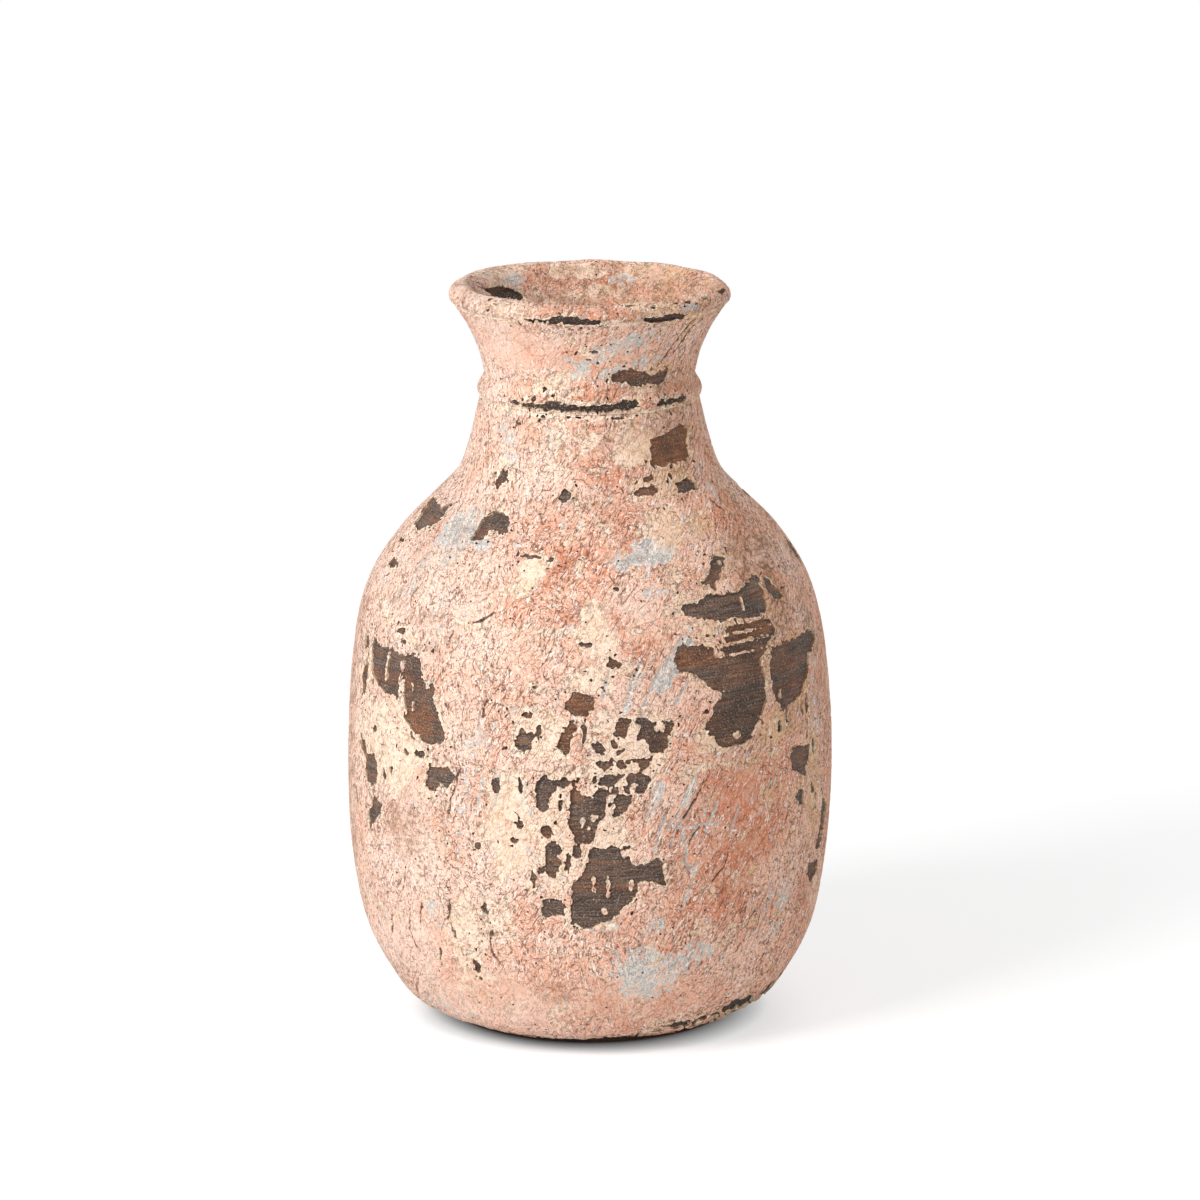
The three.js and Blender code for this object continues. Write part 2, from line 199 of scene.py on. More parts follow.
# Broken chips, each an outline of (degrees round from the front, height) corners
CHIPS = {
    "shoulder_right": [
        (24.5, 184), (25.5, 186.5), (30, 185), (31.5, 187), (34.5, 188.5), (38.5, 187), (41, 188),
        (44, 187), (49, 190), (52, 192), (55, 190.5), (53, 188), (52.5, 180), (51, 176), (43, 177),
        (40.5, 178.5), (35, 178.3), (32, 180), (27, 181),
    ],
    "shoulder_stripes": [
        (35.5, 171), (36.5, 174.5), (39, 176.4), (44, 177), (50, 177.4), (52, 174.5), (53.5, 170),
        (50.5, 167.5), (48, 169.5), (44, 168.4), (39.5, 168.6), (36, 169.5),
    ],
    "belly_right": [
        (24, 172), (27, 170), (31.5, 168.5), (32, 165.5), (34, 164), (35.5, 166.5), (41.5, 167.8),
        (49.3, 168.3), (48.3, 164), (45.8, 161.5), (45.2, 157), (46.8, 152.5), (46.6, 145), (42.6, 135),
        (41, 131.2), (38, 129.7), (32.5, 129.7), (29.7, 134), (27.2, 138), (30.3, 143), (30.5, 147),
        (34, 151.5), (30.2, 153.5), (28.7, 156), (24.5, 161.2), (22, 161), (21.2, 164.5), (22.5, 169.5),
    ],
    "belly_far_right": [
        (50.7, 164), (61.5, 164.3), (71.5, 165), (73.5, 162), (69, 157.5), (66.5, 155), (65, 149.5),
        (60, 142.5), (52.5, 138.5), (50.2, 142.5), (48.8, 147.5), (49.2, 158),
    ],
    "shoulder_small_right": [
        (40.2, 201), (44.5, 199.5), (42.5, 197.5), (40.2, 195), (37.5, 192.5), (36.5, 190), (33, 192.5),
        (36, 195), (38, 197.5),
    ],
    "belly_left": [
        (-50, 162), (-45.7, 162.5), (-44.2, 156), (-42.2, 150), (-40, 152), (-39.5, 146.5), (-37, 138.5),
        (-35.7, 131.5), (-38.2, 129.7), (-42, 129.7), (-46.7, 134), (-50, 137), (-47.7, 140),
        (-50.2, 147.5), (-49.5, 154.5),
    ],
    "belly_left_edge": [
        (-66.8, 159.5), (-66, 162.6), (-60.5, 160.5), (-56.7, 162.2), (-53.5, 161), (-49, 161),
        (-49, 152), (-51.4, 151), (-51.6, 143.5), (-53.5, 145.5), (-57.4, 144), (-62, 147.5),
        (-65, 150.5),
    ],
    "shoulder_left": [
        (-87, 213), (-79, 214), (-75.5, 212.5), (-69.5, 213), (-66.5, 215), (-64, 212), (-64, 208),
        (-71.5, 204), (-77.5, 205), (-81.5, 208),
    ],
    "shoulder_arch": [
        (-39, 216), (-34.2, 216.5), (-30.7, 214), (-30, 211), (-32.2, 209.5), (-36.2, 211), (-38.2, 207),
        (-42.5, 206.5), (-41, 210), (-42.2, 213),
    ],
    "shoulder_small_left": [(-44.5, 230), (-40.5, 230.5), (-39.2, 227.5), (-43.2, 224.5), (-46, 226)],
    "shoulder_dot": [(-12, 225.5), (-10.2, 226), (-8, 224.5), (-8.5, 222.5), (-10.5, 222), (-13.2, 223)],
    "shoulder_slot_left": [
        (20, 224), (23.2, 226), (29, 226.5), (30.7, 224.5), (27.7, 223), (23.2, 223.5),
    ],
    "shoulder_slot_right": [
        (41.5, 225.5), (48, 227), (53.2, 224.5), (52.2, 222.5), (47.2, 222.5), (41.2, 223),
    ],
    "shoulder_dots_right": [
        (56.3, 190), (58.3, 189), (58.8, 186.5), (61.3, 181.5), (59.5, 180.5), (56.5, 182), (55.5, 185),
    ],
    "collar_right": [
        (32, 243), (39.2, 244.5), (46, 246.5), (51.2, 247.5), (58, 244), (55.2, 237), (51.7, 233.4),
        (30, 233.4), (30.2, 238.5),
    ],
    "centre_low": [
        (0, 92), (5.5, 93), (9, 93), (7, 91), (7.2, 87.5), (9, 88.5), (10.5, 84.5), (16, 87), (17.5, 85),
        (17, 81.5), (17.7, 76.5), (14.7, 79), (11.2, 77.5), (11.2, 73.5), (9.5, 69.5), (7, 66.5), (4, 62),
        (0, 60), (-4.2, 62), (-4.2, 69), (-3.7, 77), (-1, 84),
    ],
    "centre_high": [
        (-3.2, 117.5), (-1.7, 113), (0.5, 112.7), (2.2, 116.5), (4.2, 116.5), (4, 112.5), (3.5, 107),
        (1.7, 102), (1, 97), (-0.2, 94.5), (-3.7, 95), (-4.7, 104.5), (-4.2, 116),
    ],
    "centre_spot": [
        (5.6, 113), (6.6, 114.4), (7.8, 114.8), (8.5, 113.6), (9.4, 113.2), (9.3, 109.2), (8, 107.6),
        (7.8, 106.2), (6, 106.3), (5.5, 108), (5.8, 109.5), (5.5, 111),
    ],
    "ring_dot_left": [
        (0.7, 133.9), (2, 135.2), (2.9, 134.3), (3.6, 132.7), (3.6, 130.2), (3, 130), (1.6, 131.5),
        (0.9, 132.5),
    ],
    "ring_dot_middle": [
        (5, 135.2), (5.5, 135.6), (6.3, 135.4), (6.6, 134.6), (7.5, 134.5), (7.2, 133.9), (6.6, 133.8),
        (6.2, 132.6), (5.4, 133.3),
    ],
    "ring_dot_right": [
        (6.4, 131.2), (6.6, 132.2), (7.8, 132.4), (7.7, 131.4), (7.2, 130.4), (6.3, 130.2),
    ],
    "band_left": [
        (1.2, 127), (1.6, 127.9), (4, 127.9), (5.2, 127.9), (5.7, 126.3), (4.8, 124.6), (3.4, 124.3),
        (2, 124.8),
    ],
    "band_middle": [
        (6.2, 125.7), (6.3, 126.6), (7, 128), (7.9, 128.4), (8.4, 127.4), (9.6, 128), (9.4, 127),
        (8.2, 126.6), (8.1, 125.5), (7, 125.4),
    ],
    "band_right": [
        (10.1, 127.9), (14.5, 128.4), (14.4, 127), (13.6, 124.8), (11.8, 123), (11.7, 125), (11.3, 126.4),
    ],
    "under_band_left": [
        (2.1, 121), (3.4, 121.7), (5.8, 121.7), (8.3, 122), (8, 121.3), (6.3, 119.8), (5.4, 118.8),
        (4, 118.2), (2.8, 118.3), (2.2, 119.5),
    ],
    "under_band_right": [
        (8.5, 121.6), (9.8, 122), (12.7, 122.1), (13.6, 121.3), (13.9, 119.2), (13.4, 117.1),
        (12.8, 116.9), (12.5, 115), (11.4, 114.5), (10.6, 115.4), (10.4, 117.2), (11, 118), (9.7, 118.4),
        (9.2, 116.5), (8.9, 114.6), (8, 115.5), (7.7, 117.3), (8.4, 118.6),
    ],
    "centre_fork": [
        (10.7, 144.5), (13.7, 144), (15.2, 142), (15.2, 138.5), (17.5, 138), (18, 142), (20.2, 141.5),
        (18, 133), (17, 130.5), (13.7, 130.5), (13.7, 134.5), (13, 136.5), (11, 136), (12, 141),
    ],
    "centre_top_right": [(7.5, 144.5), (9.5, 144), (8.2, 136.5), (5.7, 138.5), (6.2, 142.5)],
    "centre_top": [
        (-4.2, 154.5), (-1.7, 154.5), (-0.2, 153), (1.2, 153), (1, 150), (-1, 146), (-3.2, 145.5),
        (-5, 147.5), (-5, 151.5),
    ],
    "centre_top_left": [
        (-4, 143.5), (-3, 141.5), (-4.7, 134.5), (-5.2, 130.5), (-7.2, 133.5), (-5.7, 140.5),
    ],
    "front_left_high": [
        (-15.5, 140.5), (-14.7, 138), (-12.2, 138), (-13.7, 135.5), (-13.7, 132.5), (-15.2, 130.5),
        (-17.5, 132.5), (-16.7, 137.5),
    ],
    "front_left_top": [
        (-10.5, 121), (-8.5, 120), (-7.7, 116.5), (-9.2, 114.5), (-9.5, 110), (-10.7, 106.5),
        (-12, 109.5), (-12.5, 117.5),
    ],
    "front_left_middle": [
        (-8.7, 95.5), (-6.2, 92), (-7.7, 89.5), (-6.7, 86), (-8.2, 81), (-11.5, 83.5), (-9.7, 85),
        (-10.2, 93),
    ],
    "front_left_low": [(-11, 70.5), (-7.5, 71.5), (-5.7, 69.5), (-6.2, 65.5), (-10.7, 64)],
    "belly_left_low": [
        (-40, 120), (-34.7, 120.5), (-32.7, 117.5), (-35.2, 112.5), (-37.2, 114), (-39.5, 110),
        (-41, 111.5), (-40.7, 117),
    ],
    "edge_left": [
        (-69.5, 120), (-66.2, 120.5), (-64.7, 116.5), (-61.2, 116.5), (-59.7, 113), (-60.5, 106.5),
        (-63, 103.5), (-65.7, 107), (-65.5, 115),
    ],
    "edge_left_low": [(-61.8, 100), (-57.8, 98), (-58.3, 94.5), (-63.8, 86.5), (-65, 91.5), (-62.3, 95)],
    "belly_right_low": [
        (56, 121.5), (60.8, 121), (64.2, 120), (63.8, 115), (61.6, 112.5), (62.3, 108.8), (59.5, 110),
        (55.3, 114), (54.5, 119.5),
    ],
    "edge_right_lower": [
        (56.3, 102), (58.8, 104), (61, 103), (60.3, 99), (60.5, 97), (59, 97.5), (56.8, 100.5),
    ],
    "edge_right_low": [(73.2, 94.5), (78.2, 89.5), (74, 81), (72.5, 74.5), (69.2, 74), (71.5, 85.5)],
    "far_right_foot": [(65.5, 70), (71, 69.5), (72.8, 64.5), (67.5, 61.5), (65, 66.5)],
    "flare_right": [
        (9.2, 267.5), (13.7, 270), (21, 272), (28, 270.5), (34.5, 268.5), (46.7, 269.5), (46, 266.5),
        (40.7, 264.5), (33.7, 266), (29, 264.7), (23.2, 264.2), (19.5, 266.5),
    ],
    "ring_slit_left": [
        (-43.2, 257.2), (-24.8, 257.8), (-22.8, 258.9), (-15.2, 259.2), (-13.8, 258), (10.6, 258),
        (17.2, 259.4), (24.6, 259.4), (26.8, 256.6), (21.2, 255.8), (12.2, 255.6), (-4.8, 256),
        (-22.4, 255.6), (-40.6, 256.4),
    ],
    "ring_slit_right": [
        (36.4, 256.2), (39.8, 258.4), (50.6, 257.6), (56.8, 258.8), (59.2, 258), (58, 255.8),
        (42.4, 255.6),
    ],
    "rim_slit_left": [
        (-26, 293), (-17.5, 293.9), (-12.3, 295.4), (-8.5, 295.6), (-3.8, 294.5), (2.6, 293.7), (5, 293),
        (-1.5, 292.2), (-14.3, 292.2),
    ],
    "rim_slit_right": [
        (21.8, 293.1), (26, 293.9), (34, 294.1), (43.5, 293.4), (41.3, 292.2), (25.8, 292.2),
    ],
}

# Small chips, as (degrees, height, half width, half height): first those in view, then the far side's
SMALL_CHIPS = [
    (-70.8, 160, 3, 2.8), (-68.5, 146, 2.6, 7.5), (-54, 169.5, 3.2, 1.6), (-52, 166.2, 3.6, 1.3),
    (-43, 124, 3.4, 1.8), (-47.5, 123, 2, 1.7), (-25.2, 65, 1.9, 3), (-26.8, 91, 1.5, 1.2),
    (-22, 116.5, 1.6, 2.6), (-16, 117, 1.1, 3.2), (-16, 101.5, 1.4, 2.2), (-17.5, 94.5, 1.5, 1.3),
    (-9.8, 98.6, 2.4, 2.2), (-6.3, 119.4, 4, 2.1), (-3.6, 118.8, 0.9, 1.6), (5.8, 165.5, 3.2, 2.2),
    (-0.6, 173, 2.6, 1.4), (-29.2, 41, 1.6, 3.4), (-29, 33.5, 1, 1.2), (27.8, 229, 2.2, 1.5),
    (18, 299.4, 2.4, 0.8), (27, 298.4, 1.9, 1.2), (38.5, 299, 1.1, 0.7), (46, 298.7, 2.2, 0.8),
    (56.5, 298.7, 3, 1.1), (74, 298.7, 3.6, 1.3), (-42, 298.2, 1.2, 0.6), (-36.5, 298.7, 1, 0.5),
    (5.9, 115.8, 1.3, 1.3), (1.2, 120.4, 0.9, 1.4), (-2.8, 119.7, 0.6, 1.4), (4.7, 110.4, 1, 1),
    (5.7, 106, 0.9, 0.9), (-13, 156, 0.7, 0.7), (41, 232.2, 1.7, 1.4), (39, 229.2, 1.3, 1.3),
    (36.8, 227, 1, 1), (-56.5, 112, 1.3, 3.2), (-53.5, 114, 1, 2.6), (-61, 128, 2, 1.2),
    (-73, 95.5, 1.6, 5), (-18, 203.5, 3, 1), (-12, 203, 1.4, 1), (-76.5, 198.5, 3, 1.3),
    (-71.8, 191, 3.6, 2), (7.5, 193, 1.3, 1.1), (-14.9, 145.5, 2.8, 1.3), (-11.8, 139.5, 1, 4.2),
    (-1.2, 138, 1.1, 5), (31, 218.5, 0.9, 0.9), (-24, 253, 2.4, 0.5), (14, 252.8, 3, 0.5),
    (-6.7, 110.4, 0.8, 1.8), (-2.7, 91.5, 1.9, 4.2), (-4.8, 88, 0.9, 4), (0.4, 159.5, 0.7, 0.9),
    (39.5, 167.2, 11, 1.7), (28.5, 11, 7, 2.6), (22, 8.6, 3, 1.4), (35.5, 12.2, 3, 1.8), (40, 13, 3, 1.8),
    (47, 14.6, 6, 3.2), (53, 14.2, 5, 3.4), (66, 14.6, 6, 4.4), (75, 16.5, 5, 4), (63, 138.5, 1.4, 4),
    (50.5, 132.5, 1.6, 2.2), (53.5, 137, 0.9, 3), (66, 101, 1.6, 1.4), (66.5, 119, 1.2, 3),
    (68, 96, 1.1, 3.2), (-13, 79, 1.3, 2.8), (-34, 260.5, 1.2, 1), (-30, 259.6, 1.3, 1),
    (-37, 259.4, 1, 1.1), (2.5, 279.5, 1.5, 0.8), (98, 214, 6, 3), (112, 176, 12, 7), (104, 148, 7, 12),
    (121, 138, 5, 4), (117, 92, 6, 13), (104, 66, 4, 4), (134, 206, 5, 3), (139, 160, 9, 5),
    (147, 118, 11, 14), (158, 97, 4, 5), (138, 74, 5, 3), (154, 48, 6, 4), (165, 190, 9, 5),
    (163, 152, 3, 6), (126, 31, 4, 3), (171, 72, 3, 6), (-172, 128, 7, 10), (-164, 203, 5, 3),
    (-158, 168, 10, 6), (-150, 111, 4, 5), (-152, 82, 9, 8), (-140, 144, 6, 9), (-136, 190, 5, 4),
    (-128, 112, 7, 5), (-122, 62, 5, 3), (-118, 165, 4, 9), (-111, 128, 9, 7), (-104, 96, 4, 6),
    (-99, 182, 6, 4), (-93, 142, 3, 8), (-96, 52, 3, 3), (92, 110, 4, 10), (88, 190, 4, 6),
    (-132, 240, 5, 5), (110, 241, 5, 4), (170, 244, 6, 4), (-100, 274, 6, 3), (128, 276, 7, 3),
    (-165, 281, 5, 3), (172, 225, 4, 2), (96, 296, 4, 1.3), (150, 298.5, 5, 1.2), (-110, 298.8, 4, 1.2),
    (-150, 295, 4, 1.2),
]

# Specks of crust left standing inside the chips, as (degrees, height, half width, half height)
ISLANDS = [
    (-51, 157.2, 1.1, 3.6), (-51.6, 149, 0.5, 4), (-47, 149.4, 0.8, 1.2), (-49.4, 134.2, 1, 2.4),
    (-46.2, 142, 0.8, 1.3), (42.2, 172.8, 11, 0.5), (41.2, 169.4, 10.5, 0.5), (39, 165, 12, 0.4),
    (44.5, 176.4, 11, 0.6), (-46.5, 162, 1.6, 0.5), (-1.4, 103.8, 0.8, 1.6), (0.9, 105, 1, 1.1),
    (-0.1, 101.2, 0.7, 1), (0.9, 76.4, 0.7, 3.8), (4.3, 76.4, 0.55, 3.4), (9.8, 77.2, 0.9, 1.8),
    (3.4, 67, 1.1, 1.2), (36.8, 133.2, 1.5, 1.4), (43.8, 182.5, 0.5, 3.2), (-57.6, 153, 0.5, 5),
    (51.6, 145, 0.6, 2.4), (41.8, 198.2, 0.5, 0.8),
]

# How high the foot's crust has worn away, as (degrees, height) pairs
WORN_FOOT = [
    (-180, 5), (-120, 7), (-85, 5), (-64, 9), (-50, 7.5), (-38, 6), (-22, 5), (0, 4.6), (18, 5.5),
    (27, 6.5), (36, 7.5), (46, 9), (52, 11), (58, 13), (64, 13), (72, 12.5), (84, 8), (110, 5),
    (150, 7), (180, 5),
]

# Colour zones of the outside, as (degrees, height, half width, half height, tilt, strength)
BARE_GROUND = [
    (24, 243, 9, 8, 25, 0.75), (16, 238, 6, 4, -20, 0.6), (-10, 244, 17, 8, 0, 0.45),
    (36, 238, 16, 6, 0, 0.6), (36, 227, 15, 5, 0, 0.8), (27, 211, 11, 8, 25, 0.9),
    (44, 213, 8, 5, 20, 0.8), (30, 181, 16, 10, -10, 0.55), (2, 172, 8, 18, 10, 0.7),
    (-17, 199, 6, 5, 0, 1), (-20, 192, 9, 4, 15, 0.7), (-2, 158, 8, 6, 0, 0.7),
    (-55, 124, 24, 20, 0, 0.85), (-19, 99, 11, 23, 0, 0.8), (-11, 139, 11, 9, 0, 0.8),
    (-8, 92, 7, 21, 0, 0.9), (9, 132, 15, 18, 0, 0.9), (3, 101, 9, 13, 0, 0.8),
    (-27, 61, 15, 12, 20, 0.55), (-31, 46, 9, 20, 8, 0.65), (28, 133, 7, 4, 0, 0.8),
    (49, 133, 11, 7, 0, 0.9), (66, 104, 7, 20, 0, 0.7), (-36, 296.5, 14, 3, 0, 0.7),
    (30, 297, 9, 3, 0, 0.5), (-18, 267, 14, 4, 15, 0.7), (38, 269, 12, 5, 0, 0.7),
    (52, 282, 6, 12, 25, 0.5), (4, 88, 12, 9, 0, 0.6), (57, 150, 9, 14, 0, 0.5), (-46, 232, 8, 5, 0, 0.3),
    (-62, 176, 8, 9, 0, 0.3), (-8, 212, 7, 5, 0, 0.4), (100, 118, 22, 26, 10, 0.6),
    (128, 176, 26, 14, -8, 0.55), (150, 100, 26, 22, 0, 0.7), (-165, 150, 22, 20, 12, 0.6),
    (-128, 128, 26, 24, -10, 0.65), (-105, 74, 18, 12, 0, 0.5), (170, 52, 22, 12, 0, 0.5),
    (-140, 240, 20, 8, 0, 0.6), (120, 243, 18, 8, 0, 0.5), (150, 283, 22, 9, 10, 0.5),
    (-150, 203, 20, 8, 0, 0.45),
]
BLUE_GREY = [
    (15, 282, 22, 4.5, 20, 0.6), (22, 273, 16, 3, 12, 0.6), (-4, 272, 10, 2.5, 25, 0.5),
    (-44, 243, 4, 11, 20, 0.5), (-50, 209.5, 13, 7, 10, 0.65), (-52, 199, 13, 8, 40, 0.4),
    (18, 203, 17, 4.5, 8, 0.55), (18, 191, 6, 3, 0, 0.5), (15, 181, 4, 4, 0, 0.5),
    (20, 164, 3.4, 16, -38, 0.8), (11, 156, 2.4, 14, -24, 0.4), (-27, 137, 9, 7, 0, 0.35),
    (15, 38.5, 15, 11, 0, 0.8), (27, 46, 9, 6, 0, 0.6), (23, 112, 1.2, 12, -26, 0.9),
    (16, 112, 1.1, 10, -22, 0.7), (27, 103, 1.2, 9, -20, 0.6), (24, 75, 1.6, 9, -18, 0.7),
    (50, 58, 14, 16, -25, 0.3), (68, 141, 7, 22, 0, 0.35), (-42, 176, 4, 7, 0, 0.35),
    (-30, 108, 3, 22, -8, 0.4), (4, 60, 9, 3, 0, 0.4), (14, 58, 9, 4, 20, 0.35), (-40, 58, 4, 9, 10, 0.4),
    (-47, 15, 16, 6, 0, 0.4), (45.5, 296.6, 6, 1.7, 0, 0.9), (-15, 246, 8, 5, 30, 0.25),
    (57, 228, 4, 10, 20, 0.3), (-58, 182, 9, 5, 30, 0.35), (110, 150, 20, 8, 20, 0.4),
    (145, 60, 18, 12, 0, 0.5), (-140, 176, 22, 6, 15, 0.45), (-110, 210, 14, 8, 30, 0.4),
    (178, 208, 16, 6, 0, 0.4), (-160, 96, 5, 24, -15, 0.5), (-118, 272, 16, 4, 10, 0.4),
    (160, 130, 6, 20, 20, 0.4),
]
GRIME = [
    (56, 195, 17, 14, -20, 0.95), (58, 176, 9, 10, 0, 0.8), (64, 206, 12, 12, -20, 0.6),
    (72, 160, 8, 34, 0, 0.5), (58, 136, 12, 9, 0, 0.45), (0, 297, 70, 6, 0, 0.4),
    (0, 244, 60, 9, 0, 0.15), (46, 180, 12, 12, 0, 0.3), (-49, 93, 13, 14, 0, 0.6),
    (-80, 120, 12, 70, 0, 0.7), (-42, 172, 16, 10, 0, 0.4), (-10, 30, 7, 5, 0, 0.6),
    (21, 84, 5, 6, 0, 0.5), (50, 245, 8, 10, 0, 0.5), (-40, 10, 20, 5, 0, 0.15), (60, 12, 22, 6, 0, 0.8),
    (10, 4, 50, 3, 0, 0.3), (-15, 258, 30, 4, 0, 0.25), (20, 246, 26, 6, 0, 0.2),
    (-62, 166, 9, 5, 0, 0.5), (66, 66, 9, 30, 0, 0.3), (25, 262, 16, 3, 0, 0.5),
    (-5, 224, 26, 6, 0, 0.25), (125, 200, 26, 12, 0, 0.6), (165, 80, 16, 22, 0, 0.45),
    (-120, 90, 20, 18, 0, 0.5), (-150, 225, 26, 8, 0, 0.5), (95, 30, 22, 12, 0, 0.5),
    (-160, 20, 30, 10, 0, 0.5), (-95, 170, 12, 16, 0, 0.35),
]
DEEP_COAT = [
    (36, 96, 26, 30, -15, 0.85), (44, 116, 18, 8, 0, 0.5), (30, 68, 24, 14, 0, 0.5),
    (0, 297, 17, 4, 0, 0.7), (-4, 262, 40, 4, 0, 0.5), (27, 195, 9, 5, 0, 0.6),
    (-10, 190, 24, 15, 20, 0.5), (12, 233, 18, 6, 0, 0.55), (0, 208, 30, 14, 0, 0.55),
    (58, 215, 12, 14, 0, 0.35), (18, 52, 10, 5, 0, 0.4), (62, 48, 12, 22, 0, 0.3),
    (8, 172, 22, 9, 0, 0.4), (-8, 276, 20, 6, 0, 0.35), (115, 110, 26, 30, 0, 0.5),
    (-170, 186, 26, 14, 0, 0.45), (-135, 60, 26, 14, 0, 0.4), (150, 230, 22, 8, 0, 0.4),
]
CALM = [
    (-46, 281, 22, 12, 0, 0.8), (-50, 46, 26, 16, 0, 0.55), (36, 92, 22, 22, 0, 0.5),
    (24, 243, 8, 6, 25, 0.25), (-31, 181, 8, 6, 0, 0.4), (-17, 199, 6, 5, 0, 0.5),
    (-10, 28, 40, 12, 0, 0.3), (-19, 99, 10, 22, 0, 0.5), (8, 208, 9, 6, 0, 0.5),
    (-18, 173, 6, 6, 0, 0.5), (-125, 60, 20, 20, 0, 0.5), (130, 210, 20, 12, 0, 0.4),
]

# Where the brush strokes stand out most, by the same measures
STREAKY = [
    (66, 196, 14, 26, 0, 1), (72, 150, 9, 34, 0, 1), (48, 277, 8, 14, 0, 0.8), (22, 98, 16, 24, 0, 0.6),
    (-30, 205, 16, 14, 0, 0.5), (60, 40, 16, 20, 0, 0.6), (14, 158, 10, 12, 0, 0.5), (4, 216, 26, 9, 0, 0.5),
    (110, 150, 20, 30, 0, 0.6), (-140, 130, 20, 30, 0, 0.5),
]

# Where the coat is smooth and keeps few strokes and grains, by the same measures
SMOOTH_COAT = [
    (-30, 22, 34, 16, 0, 0.8), (14, 26, 30, 12, 0, 0.6), (-46, 100, 14, 34, 0, 0.4),
    (-10, 279, 34, 9, 0, 0.6), (8, 178, 20, 14, 0, 0.4), (-30, 198, 16, 10, 0, 0.4),
    (36, 112, 14, 10, 0, 0.6),
]

# Colour zones of the painted mouth, by the same measures
MOUTH_GROUND = [
    (-129, 297, 9, 4, 0, 0.9), (-137, 299, 8, 3, 0, 0.6), (-163, 295.8, 4, 2.5, 0, 0.8),
    (-177, 296, 9, 3, 0, 0.8), (148, 297, 14, 6, 0, 0.7), (172, 288, 12, 3, 0, 0.7),
    (-163, 286, 8, 2, 0, 0.8), (130, 293, 10, 6, 0, 0.4), (60, 290, 30, 10, 0, 0.35),
    (-60, 290, 20, 8, 0, 0.5),
]
MOUTH_BLUE = [
    (-136, 294.4, 7, 3.5, 0, 0.7), (162, 292.7, 7, 3, 0, 0.6), (-125, 299, 5, 2, 0, 0.4),
    (70, 288, 9, 4, 0, 0.4),
]
MOUTH_GRIME = [
    (165, 290, 44, 14, 0, 0.6), (180, 280, 60, 8, 0, 0.3), (112, 298, 8, 4, 0, 0.6),
    (-95, 297, 9, 3, 0, 0.3), (0, 280, 60, 9, 0, 0.6),
]
MOUTH_DEEP = [(-155, 292.4, 12, 6, 0, 0.8), (180, 290, 20, 5, 0, 0.6), (130, 297, 9, 4, 0, 0.2)]
MOUTH_CHIPS = [(50, 286, 3, 2), (150, 279, 5, 3), (-40, 282, 4, 3)]
MOUTH_HOLES = {
    "inside_left": [
        (-110.5, 294), (-118, 293.4), (-124.5, 293.8), (-131, 292), (-136.5, 291.1), (-139, 289.3),
        (-142, 286.7), (-128.5, 288.6), (-116, 290.7),
    ],
}

# Cracks that go deep into the crust, as lines of (degrees, height) points
CRACKS = [
    [(-39.5, 252), (-41, 249.5), (-41, 247)], [(50, 290), (47, 284), (41.5, 277), (38, 272)],
    [(54, 288), (50, 281), (47, 276)], [(28, 118), (24.5, 109), (22, 103)],
    [(26.5, 99), (24.5, 96), (23.5, 92)], [(34, 88), (33, 81), (30, 75)],
    [(-31.5, 121), (-33, 112), (-34.5, 102)], [(-35, 66), (-36, 58), (-34, 50)], [(-44, 62), (-46, 53)],
    [(-49, 58), (-50.5, 48), (-49, 41)], [(-40, 44), (-41, 36)], [(-57, 52), (-59, 43)],
    [(-24, 56), (-25, 47), (-22, 41)], [(-25.2, 183.2), (-28.5, 179.8), (-31, 178)],
    [(-36.5, 174), (-36.8, 168)], [(-25, 150), (-25.5, 143)], [(56, 218), (59, 213)],
    [(44, 60), (42, 55)], [(95, 128), (97, 110), (94, 101)], [(128, 112), (131, 94)],
    [(160, 178), (155, 170), (158, 161)], [(-170, 112), (-168, 96), (-171, 84)],
    [(-130, 168), (-133, 155)], [(-100, 118), (-103, 104)], [(140, 50), (141, 36)],
    [(-150, 60), (-148, 44)], [(-118, 46), (-120, 32)],
]

# Old scratches with grey-blue limewash in them, by the same measures
SCRATCHES = [
    [(16.5, 119), (14.5, 113), (13, 104)], [(24.5, 109.5), (22.2, 103), (20.6, 99.8)],
    [(17.5, 104), (16.3, 98), (15.2, 91)], [(19.5, 103), (18.2, 99.5)], [(25.5, 98.5), (23.8, 94.5)],
    [(23, 92), (22.5, 86), (24.5, 80)], [(19.3, 96), (19, 92)], [(22, 97), (21.6, 93)],
    [(17.5, 164), (15, 157), (12.5, 148)], [(12.5, 166), (10, 158), (8.8, 150)], [(24, 157), (20.5, 149)],
    [(6, 50), (8, 41)], [(9.5, 51), (11, 42)], [(13, 52), (14, 43)], [(31, 108), (28, 97)],
    [(37, 104), (34.5, 93)], [(-21, 121), (-22, 108)], [(-25, 119), (-27, 104)], [(4.5, 163), (3, 152)],
    [(-46, 209), (-50, 202)], [(-42, 205), (-47, 197)], [(56, 70), (52, 58)], [(50, 66), (47, 56)],
    [(20.5, 99.5), (24, 98.8), (27.5, 99.4), (31, 99)], [(104, 120), (100, 105)], [(148, 66), (144, 54)],
    [(-138, 180), (-146, 170)], [(-108, 214), (-113, 204)],
]

# Broad smears of the same limewash
SMEARS = [
    [(25, 172), (22, 165), (17, 155)], [(9, 201), (16, 203.5), (24, 202.5)], [(15, 206), (20, 207.5)],
    [(-56, 211), (-46, 209.5), (-35, 205)], [(160, 138), (154, 118)],
    [(-134, 178), (-146, 172)],
]

